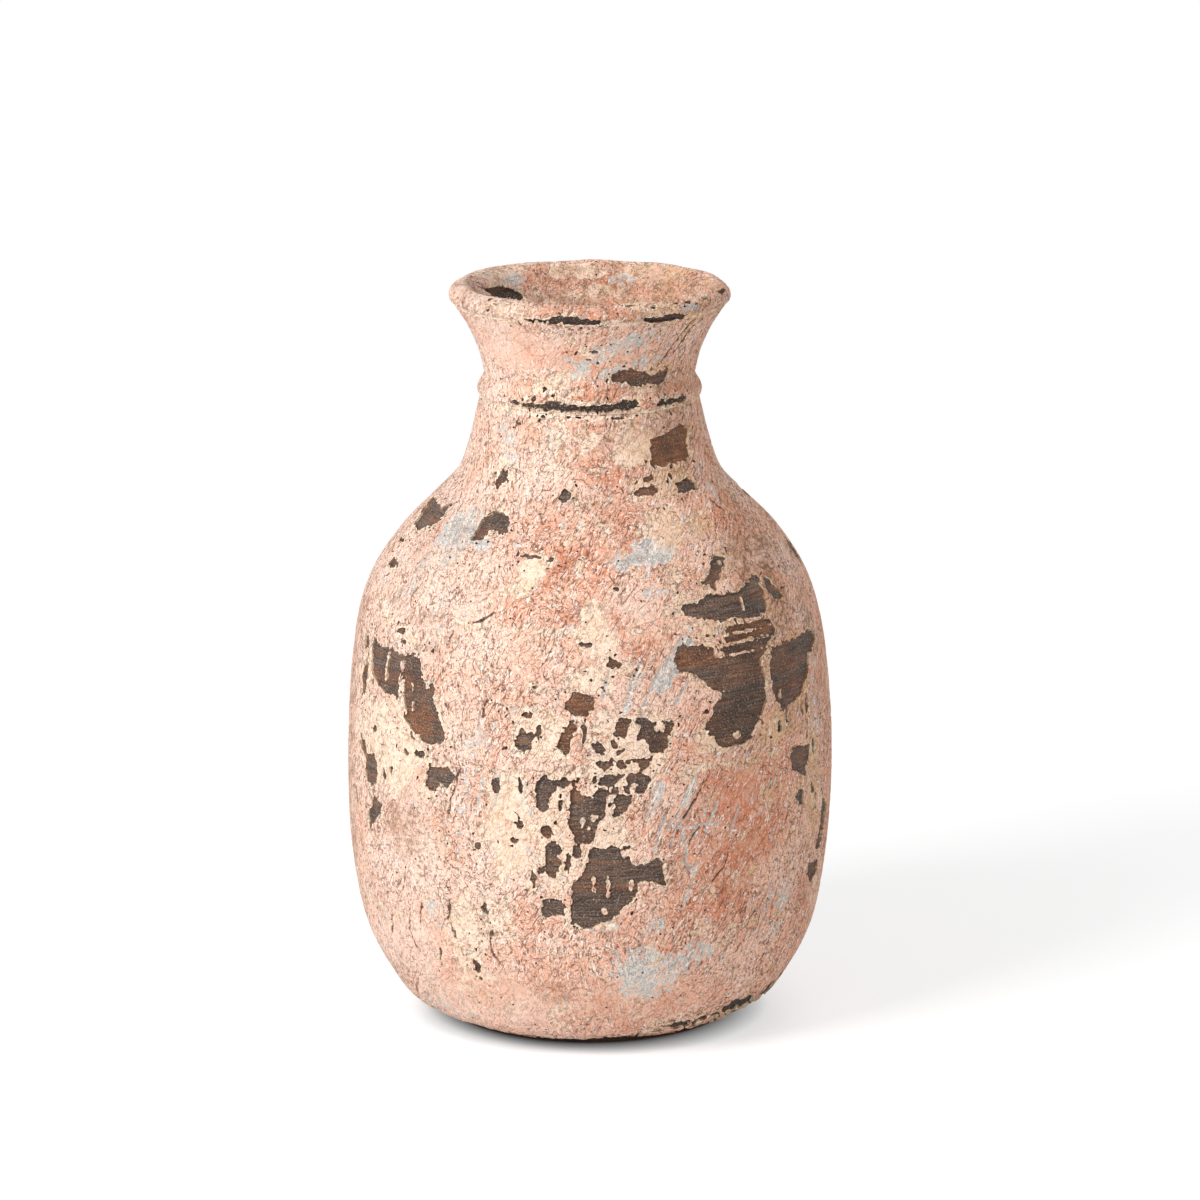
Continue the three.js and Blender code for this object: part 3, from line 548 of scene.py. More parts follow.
# Reddish stretches of the bare wood, as (degrees, height, half width, half height, tilt, strength)
REDDISH_WOOD = [
    (42, 240, 20, 10, 0, 1.1), (-2, 150, 6, 6, 0, 1), (-5, 138, 5, 8, 0, 0.8), (43, 172, 16, 4, 0, 0.8),
    (28, 167, 12, 5, 0, 0.7), (-44, 138, 8, 9, 0, 0.7), (-3, 115, 4, 5, 0, 0.6), (25, 225, 8, 4, 0, 0.6),
    (9, 126, 12, 5, 0, 0.5), (8, 142, 4, 5, 0, 0.6), (30, 268, 22, 3, 0, 0.35), (57, 152, 6, 10, 0, 0.3),
    (-50, 150, 5, 12, 0, 0.3), (110, 176, 16, 8, 0, 0.6), (-155, 120, 18, 12, 0, 0.5),
    (-112, 130, 12, 8, 0, 0.6),
]

# Stretches of the bare wood painted nearly black, by the same measures: painted shade in the slits under the
# neck ring and the lip and in the hole inside the mouth, and dark patches on the belly, the foot and the lip
BLACK_WOOD_AND_SLIT_SHADE = [
    (-8, 257, 50, 4, 0, 1), (48, 257, 22, 4, 0, 1), (-10, 294, 24, 4, 0, 0.9), (33, 294, 18, 4, 0, 0.9),
    (30, 10, 30, 6, 0, 1), (60, 14, 26, 9, 0, 1), (14, 138, 9, 8, 0, 0.5), (42, 140, 14, 12, 0, 0.4),
    (64, 298, 30, 4, 0, 0.9), (-126, 290, 22, 6, 0, 0.8), (-60, 10, 30, 8, 0, 0.8),
]

NOISE_DIRECTIONS = np.random.default_rng(4).normal(size=(256, 3)).astype(np.float32)
NOISE_DIRECTIONS /= np.linalg.norm(NOISE_DIRECTIONS, axis=1, keepdims=True)


def noise(points, wavelength, seed):
    """Smooth gradient noise of points in millimetres, about -1 to 1; each seed gives another pattern."""
    scaled = (points / wavelength + 19.7 * seed).astype(np.float32)
    cell = np.floor(scaled).astype(np.int32)
    inside = scaled - cell
    fade = inside ** 3 * (inside * (inside * 6 - 15) + 10)
    total = np.zeros(len(points), np.float32)
    primes = np.array((73856093, 19349663, 83492791), np.int32)
    for corner in np.ndindex(2, 2, 2):
        x, y, z = ((cell + np.array(corner, np.int32)) * primes).T
        mixed = (x ^ y ^ z ^ np.int32(seed * 7919)) & 0x7FFFFFFF
        mixed = ((mixed ^ (mixed >> 13)) * np.int32(60493)) & 0x7FFFFFFF
        direction = NOISE_DIRECTIONS[(mixed ^ (mixed >> 15)) & 255]
        weight = np.where(corner, fade, 1 - fade)
        reach = np.einsum("ij,ij->i", direction, inside - np.array(corner, np.float32))
        total += weight[:, 0] * weight[:, 1] * weight[:, 2] * reach
    return 1.6 * total


def warped(points, wavelength, amount, seed):
    """The points pushed about by noise, which bends any pattern that is then read from them."""
    push = [noise(points, wavelength, seed + axis) for axis in range(3)]
    return points + amount * np.stack(push, axis=1)


def smooth_step(low, high, value):
    """0 up to the low value and 1 from the high one on, with a soft rise between; low may be the larger."""
    share = np.clip((value - low) / (high - low), 0, 1)
    return share * share * (3 - 2 * share)


def valley(value, half_width):
    """1 along the line where a signed value passes through zero, fading to 0 at its half width."""
    return 1 - smooth_step(0, half_width, np.abs(value))


def turned_away(angle, degrees):
    """How far round the pot an angle is from a direction given in degrees, in radians."""
    return (angle - math.radians(degrees) + math.pi) % (2 * math.pi) - math.pi


def zone(places, angle, height, radius):
    """How strongly a list of tilted ellipses covers each point, fading at their edges."""
    cover = np.zeros(len(angle))
    for degrees, middle, half_width, half_height, tilt, strength in places:
        across = turned_away(angle, degrees) * radius
        up = height - middle
        turn = math.radians(tilt)
        along = (across * math.cos(turn) + up * math.sin(turn)) / half_width
        aside = (up * math.cos(turn) - across * math.sin(turn)) / half_height
        cover += strength * (1 - smooth_step(0.55, 1.35, np.hypot(along, aside)))
    return np.clip(cover, 0, 1.1)


class Outline:
    """A turned surface's outline: radius, height and outward direction by the length along it."""

    def __init__(self, profile):
        knots = np.array([(radius, height) for height, radius in profile], float)
        knots = np.vstack([2 * knots[0] - knots[1], knots, 2 * knots[-1] - knots[-2]])
        pieces = [self.stretch(*four) for four in zip(knots, knots[1:], knots[2:], knots[3:])]
        points = np.vstack([*pieces, knots[-2:-1]])
        steps = np.linalg.norm(np.diff(points, axis=0), axis=1)
        self.lengths = np.concatenate([[0], np.cumsum(steps)])
        self.radii, self.heights = points.T
        self.slopes = np.gradient(points, self.lengths, axis=0)
        self.total = self.lengths[-1]

    @staticmethod
    def stretch(before, start, end, after):
        """One stretch of a centripetal Catmull-Rom curve, from start up to end."""
        pairs = ((before, start), (start, end), (end, after))
        first, middle, last = (np.linalg.norm(b - a) ** 0.5 for a, b in pairs)
        leave = (start - before) / first - (end - before) / (first + middle) + (end - start) / middle
        arrive = (end - start) / middle - (after - start) / (middle + last) + (after - end) / last
        t = np.linspace(0, 1, CURVE_STEPS, endpoint=False)[:, None]
        ends = (2 * t ** 3 - 3 * t ** 2 + 1) * start + (3 * t ** 2 - 2 * t ** 3) * end
        return ends + middle * ((t ** 3 - 2 * t ** 2 + t) * leave + (t ** 3 - t ** 2) * arrive)

    def at(self, length):
        """Radius, height and the outward direction's two shares, at each length."""
        slope = [np.interp(length, self.lengths, values) for values in self.slopes.T]
        size = np.hypot(*slope)
        radius = np.interp(length, self.lengths, self.radii)
        height = np.interp(length, self.lengths, self.heights)
        return radius, height, slope[1] / size, -slope[0] / size

    def length_at(self, height):
        """How far along the outline a height is, run straight on past the outline's ends."""
        heights = np.asarray(height, float)
        rising = self.heights[-1] > self.heights[0]
        turning = int(np.argmax(self.heights)) + 1 if rising else len(self.heights)
        known, lengths = self.heights[:turning], self.lengths[:turning]
        if not rising:
            known, lengths = known[::-1], lengths[::-1]
        past = heights - np.clip(heights, known[0], known[-1])
        return np.interp(heights, known, lengths) + (past if rising else -past)

    def place(self, angle, length, rise=0.0, level=0.0):
        """Points on the surface, or raised above it, in millimetres; the more level, the less upwards."""
        radius, height, out, up = self.at(length)
        reach = radius + rise * (out + (np.sign(out) - out) * level)
        rise = rise * (1 - level)
        return np.stack([reach * np.sin(angle), -reach * np.cos(angle), height + rise * up], axis=1)


def depth_inside(across, up, corners):
    """How far inside an outline each point lies, in millimetres; outside it is negative."""
    nearest = np.full(len(across), np.inf)
    inside = np.zeros(len(across), bool)
    for (start_x, start_y), (end_x, end_y) in zip(corners, np.roll(corners, -1, axis=0)):
        run, climb = end_x - start_x, end_y - start_y
        share = ((across - start_x) * run + (up - start_y) * climb) / (run ** 2 + climb ** 2)
        share = np.clip(share, 0, 1)
        gap = (across - start_x - share * run) ** 2 + (up - start_y - share * climb) ** 2
        nearest = np.minimum(nearest, gap)
        if climb:
            passes = (start_y > up) != (end_y > up)
            inside ^= passes & (across < start_x + (up - start_y) * run / climb)
    return np.where(inside, 1, -1) * np.sqrt(nearest)


class Band:
    """One sheet of crust: a stretch of a turned outline between two creases.

    REACH is how far round a chip its depth is worked out, and GROWTH how much its outline is let out.
    """

    REACH = 9.0
    GROWTH = 0.4

    def __init__(self, name, outline, start, end, creases, inside=False):
        self.name = name
        self.outline = outline
        self.start, self.end = start, end
        self.creases = creases
        self.inside = inside
        self.chips = SMALL_CHIPS if not inside else MOUTH_CHIPS

    def ragged(self, points):
        """Noise that makes the chips' edges ragged, in millimetres."""
        coarse = 0.8 * noise(points, 6, 11) + 1.0 * noise(points, 2.8, 12)
        return coarse + 1.1 * noise(points, 1.5, 13) + 0.5 * noise(points, 0.8, 16)

    def broken(self, angle, length):
        """Millimetres inside a chip, where the crust is gone, or outside one as a negative value."""
        radius, height, _, _ = self.outline.at(length)
        points = self.outline.place(angle, length)
        depth = np.full(len(angle), -self.REACH)
        outlines = MOUTH_HOLES if self.inside else CHIPS
        for corners in outlines.values():
            degrees, heights = np.array(corners, float).T
            middle = degrees.mean()
            lengths = self.outline.length_at(heights)
            size = radius_of(self.outline, lengths.mean())
            if lengths.min() - self.REACH > self.end or lengths.max() + self.REACH < self.start:
                continue
            across = turned_away(angle, middle) * radius
            shape = np.stack([np.radians(degrees - middle) * size, lengths], axis=1)
            near = (np.abs(across) < np.abs(shape[:, 0]).max() + self.REACH)
            near &= (length > lengths.min() - self.REACH) & (length < lengths.max() + self.REACH)
            found = depth_inside(across[near], length[near], shape)
            depth[near] = np.maximum(depth[near], found)
        ragged = self.ragged(points)
        depth += self.GROWTH + 0.8 * ragged
        scatter = noise(points, 6.5, 14)
        fine_scatter = noise(points, 2.2, 15)
        for degrees, middle, half_width, half_height in self.chips:
            size = min(half_width, half_height)
            across = turned_away(angle, degrees) * radius / half_width
            up = (length - self.outline.length_at(middle)) / half_height
            blotch = (1 - np.hypot(across, up)) * size
            blotch += min(size, 4) * (0.5 * scatter + 0.45 * fine_scatter) + 0.45 * ragged
            depth = np.maximum(depth, blotch)
        if self.name == "foot_paint":
            degrees, heights = np.array(WORN_FOOT, float).T
            worn = np.interp(np.degrees(angle), degrees, heights)
            depth = np.maximum(depth, worn + 2.6 * fine_scatter + 2.4 * scatter - height)
        if not self.inside:
            for degrees, middle, half_width, half_height in ISLANDS:
                across = turned_away(angle, degrees) * radius / half_width
                up = (length - self.outline.length_at(middle)) / half_height
                island = (1 - np.hypot(across, up)) * min(half_width, half_height)
                rough = min(half_width, half_height, 1)
                depth = np.minimum(depth, -island - rough * (0.7 * fine_scatter + 0.9 * ragged))
        return np.maximum(depth, -self.REACH)

    def pierced(self, angle, length, broken):
        """The same depth with the pinholes that go through the crust round the chips."""
        points = self.outline.place(angle, length)
        level = noise(points, 2.1, 17) + 0.25 * noise(points, 6.5, 14) - PINHOLE_LEVEL
        return np.maximum(broken, 5 * np.minimum(level, 0.12 * (broken + PINHOLE_REACH)))


def radius_of(outline, length):
    """The radius of an outline at one length along it."""
    return float(outline.at(np.array([length]))[0][0])


def gap_to_lines(lines, angle, height, radius, wander, reach):
    """The distance from each point to the nearest of a list of lines, in millimetres."""
    nearest = np.full(len(angle), float(reach))
    for line in lines:
        middle = line[0][0]
        across = turned_away(angle, middle) * radius + wander
        for (start, low), (end, high) in zip(line, line[1:]):
            here = np.abs(across - math.radians((start + end) / 2 - middle) * radius) < 30
            here &= np.abs(height - (low + high) / 2) < abs(high - low) / 2 + reach
            scale = radius[here]
            first = math.radians(start - middle) * scale
            run, climb = math.radians(end - middle) * scale - first, high - low
            offset_x, offset_y = across[here] - first, height[here] - low
            share = np.clip((offset_x * run + offset_y * climb) / (run ** 2 + climb ** 2), 0, 1)
            gap = np.hypot(offset_x - share * run, offset_y - share * climb)
            nearest[here] = np.minimum(nearest[here], gap)
    return nearest


def slanted(angle, height, radius, degrees, stretch, wander):
    """Coordinates along and across the strokes that lean to the right, for streaky noise."""
    around = angle * radius
    lean = math.radians(degrees)
    across = around * math.sin(lean) - height * math.cos(lean) + wander
    along = around * math.cos(lean) + height * math.sin(lean)
    return np.stack([across, along / stretch, np.zeros(len(angle))], axis=1)


def sunken_by(angle, height):
    """How far the hand-smeared coat sinks below its highest swells, in millimetres."""
    level = sum(np.sin(waves * angle + height / climb + start) for waves, climb, start in SWELLS)
    return SWELL_DEPTH * smooth_step(-SWELL_REACH, SWELL_REACH, level)


def brush_marks(where, points, small, calm, bare):
    """The wrinkles and tool marks of the coat: each runs where its signed noise passes through zero."""
    front = smooth_step(*BACK_FADE, np.abs(where[0]))
    wander = 3.2 * noise(points, 11, 31) + 1.3 * noise(points, 4.2, 32) + 0.35 * small
    dragged = noise(slanted(*where, WRINKLE_LEAN, 2.6, wander), 3.3, 33)
    curled = noise(warped(points, 4.5, 1.6, 34), 3.8, 37)
    leaning = front * smooth_step(-0.5, 0.35, noise(points, 24, 38) + 0.25)
    strength = 0.8 + 0.6 * noise(points, 15, 45) - 0.6 * calm - 0.6 * bare
    return {
        "front": front,
        "wander": wander,
        "leaning": leaning,
        "wrinkle": leaning * dragged + (1 - leaning) * curled,
        "fine_wrinkle": noise(warped(points, 2.6, 0.9, 41), 2.3, 44),
        "strength": np.clip(strength, 0.05, 1),
        "tool": noise(slanted(*where, TOOL_LEAN, 8, 0.3 * wander), 2.7, 46),
        "tool_strength": front * smooth_step(0.05, 0.4, noise(points, 22, 47)) * (1 - calm),
    }


def coat_left(points, bent, small, broken, bare):
    """Where the salmon coat still holds: above 0. It is worn off towards most of the chips."""
    margin = smooth_step(-3.4, -0.4, broken + 3.0 * noise(points, 8, 26) - 1.0 + 1.2 * small)
    coat = 0.46 + 0.62 * noise(bent, 9.5, 27) + 0.42 * noise(bent, 4.3, 29) + 0.24 * noise(bent, 2.4, 64)
    return coat - (0.95 * bare + 0.7 * margin)


def limewash(where, points, bent, marks, scratch, smear_gap, limed):
    """Where grey-blue limewash shows: above 0, as flecks, streaks, filled scratches and smears."""
    front = marks["front"]
    flecked = noise(warped(points, 3, 1.2, 63), 2.6, 66)
    streaked = noise(slanted(*where, STREAK_LEAN, 3.5, 0.5 * marks["wander"]), 2.2, 67)
    blue = -0.56 + 0.3 * noise(bent, 6.5, 30) + 0.8 * (1 - front * 0.5) * flecked + 0.5 * front * streaked
    blue += 1.1 * limed
    blue = np.maximum(blue, 1.8 * (scratch - 0.5) + 0.5 * flecked)
    return np.maximum(blue, 0.5 * (2.3 - smear_gap) + 0.7 * flecked)


def crease_depth(band, points, to_start, to_end, fill):
    """How deep the creases at the band's two ends are, filled up in places by later paint."""
    drift = 0.3 * noise(points, 9, 51)
    depth = 0
    for size, gap in zip(band.creases, (to_start, to_end)):
        depth += size * (1 - smooth_step(0, CREASE_WIDTH, gap + drift * (gap > 0.3)))
    return depth * fill


def surface_texture(points, bent, smaller, coat, blue, marks, crack, scratch):
    """The paint's fine relief, in millimetres above or below its mean."""
    texture = 0.04 - WORN_COAT_DEPTH * smooth_step(0.1, -0.1, coat)
    texture -= LIMEWASH_DEPTH * smooth_step(-0.05, 0.15, blue)
    texture += 0.05 * noise(bent, 5.2, 54) + 0.07 * noise(points, 1.5, 55) + 0.05 * smaller
    wrinkles = WRINKLE_DEPTH * valley(marks["wrinkle"], 0.2)
    fine_wrinkles = FINE_WRINKLE_DEPTH * valley(marks["fine_wrinkle"], 0.24)
    texture -= marks["strength"] * (wrinkles + fine_wrinkles)
    texture -= TOOL_MARK_DEPTH * marks["tool_strength"] * valley(marks["tool"], 0.22)
    texture -= CRACK_DEPTH * crack + SCRATCH_DEPTH * scratch
    return np.clip(texture, *TEXTURE_RANGE)


def weather(band, angle, length, broken):
    """The crust's relief in millimetres, and the signed fields that its paint layers follow."""
    radius, height, _, _ = band.outline.at(length)
    points = band.outline.place(angle, length)
    where = (angle, height, radius)
    degrees = np.degrees(angle)
    if band.inside:
        kinds = (MOUTH_GROUND, MOUTH_BLUE, MOUTH_GRIME, MOUTH_DEEP, [])
    else:
        kinds = (BARE_GROUND, BLUE_GREY, GRIME, DEEP_COAT, CALM)
    bare, limed, grimy, deepened, calm = (zone(places, *where) for places in kinds)
    streaky, smooth = zone(STREAKY, *where), zone(SMOOTH_COAT, *where)
    bent = warped(points, 7, 2.2, 21)
    small, smaller = noise(points, 3.4, 25), noise(points, 1.9, 28)
    marks = brush_marks(where, points, small, calm, bare)
    tool, tool_strength = marks["tool"], marks["tool_strength"]

    crack_gap = gap_to_lines(CRACKS, *where, 0.9 * small + 0.4 * smaller, 4)
    crack = 1 - smooth_step(0.25, 0.85, crack_gap + 0.25 * noise(points, 5, 48))
    scratch_gap = gap_to_lines(SCRATCHES, *where, 0.6 * small, 4)
    scratch = 1 - smooth_step(0.35, 1.0, scratch_gap + 0.35 * smaller)
    smear_gap = gap_to_lines(SMEARS, *where, 1.1 * small, 6)
    coat = coat_left(points, bent, small, broken, bare)
    blue = limewash(where, points, bent, marks, scratch, smear_gap, limed)
    texture = surface_texture(points, bent, smaller, coat, blue, marks, crack, scratch)

    # The coat wears off at the band's ends, and most at the seams under the neck ring and the lip
    to_start, to_end = length - band.start, band.end - length
    worn_gap = np.min([np.abs(height - seam) for seam in WORN_SEAMS], axis=0) + 9 * band.inside
    coat -= 0.38 * smooth_step(1.9, 0.4, np.minimum(to_start, to_end) + 1.2 * small)
    coat -= 0.8 * smooth_step(1.9, 0.4, worn_gap + 1.2 * small)

    fill = np.clip(0.55 + 0.9 * noise(points, 13, 52) + 0.3 * small, 0.08, 1)
    crease = crease_depth(band, points, to_start, to_end, fill)
    relief = -MEAN_SINK - sunken_by(angle, height) + texture
    relief = np.maximum(relief - crease, -DEEPEST_RELIEF)

    # The left side is painted paler and the right side's ground tan: partly the paint's own colour, partly
    # painted light and shade
    bleached_and_lit = BLEACH_AND_LIGHT * smooth_step(*LIT_SIDE_FRONT, degrees) * smooth_step(*LIT_SIDE_BACK, degrees)
    low_front = smooth_step(62, 45, height) * smooth_step(22, 6, degrees)
    # Painted shade in the creases, darkest where the later paint fills them least; it goes into the crack
    # field
    painted_crease_shade = CREASE_SHADE * np.clip(crease / 0.6, 0, 1) * smooth_step(0.3, 0.7, fill)
    fields = {
        "sheet": np.stack([angle * radius, length, marks["leaning"]], axis=1),
        "upright": np.maximum(smooth_step(-14, -32, degrees), low_front),
        "quiet": np.clip(0.85 * calm + 0.5 * bare + 0.8 * smooth - 0.8 * streaky, -0.8, 1),
        "aged_and_shaded": smooth_step(*SHADED_SIDE_FRONT, degrees) * smooth_step(*SHADED_SIDE_BACK, degrees),
        "coat": coat,
        "blue": blue,
        "grime": np.clip(grimy + 0.3 * noise(points, 11, 61), 0, 1),
        "deep": deepened + 0.6 * noise(points, 19, 62) - bleached_and_lit,
        "wrinkle": marks["wrinkle"],
        "fine_wrinkle": marks["fine_wrinkle"],
        "tool": np.where(tool_strength > 0.02, tool / np.maximum(tool_strength, 0.02), 9),
        # The crack field holds the cracks and the painted shade in the creases
        "crack": np.maximum(crack, painted_crease_shade * smooth_step(0, 2.4, worn_gap)),
        "chip_gap": np.minimum(-broken, 0.55 * worn_gap),
        "texture": texture,
    }
    return relief, fields


def lay_grid(band, typical):
    """A flat grid of the band in millimetres, closer at the front, that knows where chips are."""
    width, height = 2 * math.pi * typical, band.end - band.start
    bm = bmesh.new()
    place = Matrix.Translation((0, (band.start + band.end) / 2, 0)) @ Matrix.Diagonal((width, height, 1, 1))
    columns, rows = round(width / COLUMN_SPACING), max(round(height / ROW_SPACING), 2)
    bmesh.ops.create_grid(bm, x_segments=columns, y_segments=rows, size=0.5, matrix=place)
    turn = np.array([vertex.co.x for vertex in bm.verts]) / typical
    angle = turn - FRONT_DENSITY * np.sin(turn)
    length = np.array([vertex.co.y for vertex in bm.verts])
    state = bm.verts.layers.float.new("broken")
    broken = band.pierced(angle, length, band.broken(angle, length))
    for vertex, around, gone in zip(bm.verts, angle, broken):
        vertex.co.x = around * typical
        vertex[state] = gone
    return bm, state


def refine_near_chips(bm, state, band, typical):
    """Splits the faces near the chips' edges, and measures there again."""
    near = [face for face in bm.faces if min(abs(vertex[state]) for vertex in face.verts) < FINE_REACH]
    edges = {edge for face in near for edge in face.edges}
    bmesh.ops.subdivide_edges(bm, edges=list(edges), cuts=1, use_grid_fill=True)
    close = [vertex for vertex in bm.verts if abs(vertex[state]) < 2 * FINE_REACH]
    around = np.array([vertex.co.x for vertex in close]) / typical
    length = np.array([vertex.co.y for vertex in close])
    for vertex, gone in zip(close, band.pierced(around, length, band.broken(around, length))):
        vertex[state] = gone


def cut_chips(bm, state):
    """Splits the edges that cross a chip's outline, joins the cuts and takes the inside away."""
    crossed = [edge for edge in bm.edges if (edge.verts[0][state] > 0) != (edge.verts[1][state] > 0)]
    cuts = []
    for edge in crossed:
        first, second = edge.verts
        share = first[state] / (first[state] - second[state])
        _, made = bmesh.utils.edge_split(edge, first, min(max(share, CUT_MARGIN), 1 - CUT_MARGIN))
        made[state] = 0
        cuts.append(made)
    if cuts:
        bmesh.ops.connect_verts(bm, verts=cuts)
        gone = [face for face in bm.faces if max(vertex[state] for vertex in face.verts) > 0]
        bmesh.ops.delete(bm, geom=gone, context="FACES")


def stand_walls(bm, far):
    """Walls under every edge but the two that will meet at the back."""
    border = [edge for edge in bm.edges if edge.is_boundary]
    border = [edge for edge in border if min(abs(vertex.co.x) for vertex in edge.verts) < far]
    for edge in border:
        edge.smooth = False
    walls = bmesh.ops.extrude_edge_only(bm, edges=border)["geom"]
    for made in walls:
        if isinstance(made, bmesh.types.BMVert):
            made.co.z = -1
        elif isinstance(made, bmesh.types.BMFace):
            made.material_index = 1


def close_round(bm, far):
    """Welds the sheet's left end to its right one."""
    seam = [vertex for vertex in bm.verts if abs(vertex.co.x) > far]
    left = sorted((v for v in seam if v.co.x < 0), key=lambda v: (v.co.z, v.co.y))
    right = sorted((v for v in seam if v.co.x > 0), key=lambda v: (v.co.z, v.co.y))
    bmesh.ops.weld_verts(bm, targetmap=dict(zip(right, left)))


def cut_sheet(band):
    """A flat sheet of the band, in millimetres, with its chips cut out and walls under every edge."""
    typical = radius_of(band.outline, (band.start + band.end) / 2)
    bm, state = lay_grid(band, typical)
    refine_near_chips(bm, state, band, typical)
    cut_chips(bm, state)
    far = math.pi * typical - SEAM_TOLERANCE
    stand_walls(bm, far)
    close_round(bm, far)
    return bm, typical


def lay_out(mesh, flat, width, start, end):
    """A UV map in which the sheet lies as a few equal strips, one above another."""
    strips = max(1, round(math.sqrt(width / (end - start))))
    corner = np.zeros(len(mesh.loops), np.int32)
    mesh.loops.foreach_get("vertex_index", corner)
    sizes = np.zeros(len(mesh.polygons), np.int32)
    mesh.polygons.foreach_get("loop_total", sizes)
    face = np.repeat(np.arange(len(sizes)), sizes)
    first = np.concatenate([[0], np.cumsum(sizes)[:-1]])
    across, up = flat[corner, 0], flat[corner, 1]
    spread = np.maximum.reduceat(across, first) - np.minimum.reduceat(across, first)
    across = across + np.where((spread[face] > width / 2) & (across < 0), width, 0)
    middle = np.add.reduceat(across, first) / sizes
    strip = np.clip(np.floor((middle / width + 0.5) * strips), 0, strips - 1)[face]
    u = (across / width + 0.5) * strips - strip
    v = (up - start) / (end - start)
    inner = 1 - 2 * UV_MARGIN
    uv = np.stack([UV_MARGIN + inner * u, (strip + UV_MARGIN + inner * v) / strips], axis=1)
    layer = mesh.uv_layers.new(name="OFBake")
    layer.data.foreach_set("uv", np.clip(uv, 0, 1).astype(np.float32).ravel())


def lean_walls(band, angle, length, broken, low):
    """Moves the walls' feet out from under the chips' edges, so that the break slopes."""
    foot = np.nonzero(low & (np.abs(broken) < 0.6))[0]
    radius = band.outline.at(length)[0]
    slope_x = band.broken(angle[foot] + SLOPE_STEP / radius[foot], length[foot]) - broken[foot]
    slope_y = band.broken(angle[foot], length[foot] + SLOPE_STEP) - broken[foot]
    slope_x, slope_y = slope_x / SLOPE_STEP, slope_y / SLOPE_STEP
    shift = WALL_SLOPE / np.maximum(np.hypot(slope_x, slope_y), 0.5)
    angle[foot] += shift * slope_x / radius[foot]
    length[foot] = np.clip(length[foot] + shift * slope_y, band.start, band.end)


def finish_piece(piece, node, materials):
    """Gives a piece its materials, links it, and tells the frame what it is."""
    for material in materials:
        piece.data.materials.append(material)
    bpy.context.scene.collection.objects.link(piece)
    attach(piece, "root")
    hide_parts(node)


def store(mesh, name, values):
    """Stores a number, or a vector, at each vertex under a name that materials can read."""
    kind, key = ("FLOAT", "value") if values.ndim == 1 else ("FLOAT_VECTOR", "vector")
    attribute = mesh.attributes.new(name, kind, "POINT")
    attribute.data.foreach_set(key, values.astype(np.float32).ravel())


def make_crust(band, materials):
    """Wraps a band's cut sheet round the pot, and gives it its relief and its paint's fields."""
    bm, typical = cut_sheet(band)
    mesh = bpy.data.meshes.new(band.name + "_crust")
    bm.to_mesh(mesh)
    bm.free()
    flat = np.zeros(len(mesh.vertices) * 3)
    mesh.vertices.foreach_get("co", flat)
    flat = flat.reshape(-1, 3)
    angle, length, low = flat[:, 0] / typical, flat[:, 1].copy(), flat[:, 2] < -0.5
    lay_out(mesh, flat, 2 * math.pi * typical, band.start, band.end)
    broken = band.broken(angle, length)
    relief, fields = weather(band, angle, length, broken)
    relief = np.where(low, -WALL_DEPTH, relief)
    lean_walls(band, angle, length, broken, low)
    seam = np.minimum(length - band.start, band.end - length)
    level = smooth_step(1.2, 0.2, seam) * (band.outline.at(length)[1] < LIP_CREST) * (not band.inside)
    points = band.outline.place(angle, length, relief, level)
    mesh.vertices.foreach_set("co", (points * MM).astype(np.float32).ravel())
    for name, values in fields.items():
        store(mesh, name, values)
    mesh.polygons.foreach_set("use_smooth", np.ones(len(mesh.polygons), bool))
    mesh.update()
    crust = bpy.data.objects.new(band.name + "_crust", mesh)
    finish_piece(crust, band.name, materials)


def paint_bands():
    """Every sheet of crust, from the foot up over the lip and down into the mouth."""
    body = Outline(BODY_PROFILE)
    levels = [
        ("foot_paint", CRUST_START, LOW_RING, (0, LOW_CREASE)),
        ("lower_belly_paint", LOW_RING, BELLY_RING_LOWER, (LOW_CREASE, BELLY_CREASE)),
        ("belly_band_paint", BELLY_RING_LOWER, BELLY_RING_UPPER, (BELLY_CREASE, BELLY_CREASE)),
        ("upper_belly_paint", BELLY_RING_UPPER, SHOULDER_RING, (BELLY_CREASE, SHOULDER_CREASE)),
        ("shoulder_paint", SHOULDER_RING, COLLAR_RING, (SHOULDER_CREASE, COLLAR_CREASE)),
        ("collar_paint", COLLAR_RING, COLLAR_TOP, (COLLAR_CREASE, RING_CREASE)),
    ]
    bands = [
        Band(name, body, float(body.length_at(low)), float(body.length_at(high)), creases)
        for name, low, high, creases in levels
    ]
    wholes = [
        ("neck_ring_paint", NECK_RING_PROFILE, (2 * RING_CREASE, NECK_CREASE), False),
        ("neck_paint", FLARE_PROFILE, (NECK_CREASE, LIP_CREASE), False),
        ("rim_paint", LIP_PROFILE, (LIP_CREASE, CREST_CREASE), False),
        ("mouth_lining_paint", MOUTH_PROFILE, (CREST_CREASE, THROAT_CREASE), True),
    ]
    for name, profile, creases, inside in wholes:
        outline = Outline(profile)
        bands.append(Band(name, outline, 0.0, outline.total, creases, inside))
    return bands


def even_points(outline, start, end, spacing, depth):
    """Evenly spaced (radius, height) points of an outline, moved in by a depth."""
    lengths = np.linspace(start, end, max(2, round((end - start) / spacing)))
    radius, height, out, up = outline.at(lengths)
    return list(zip(radius - depth * out, height - depth * up))


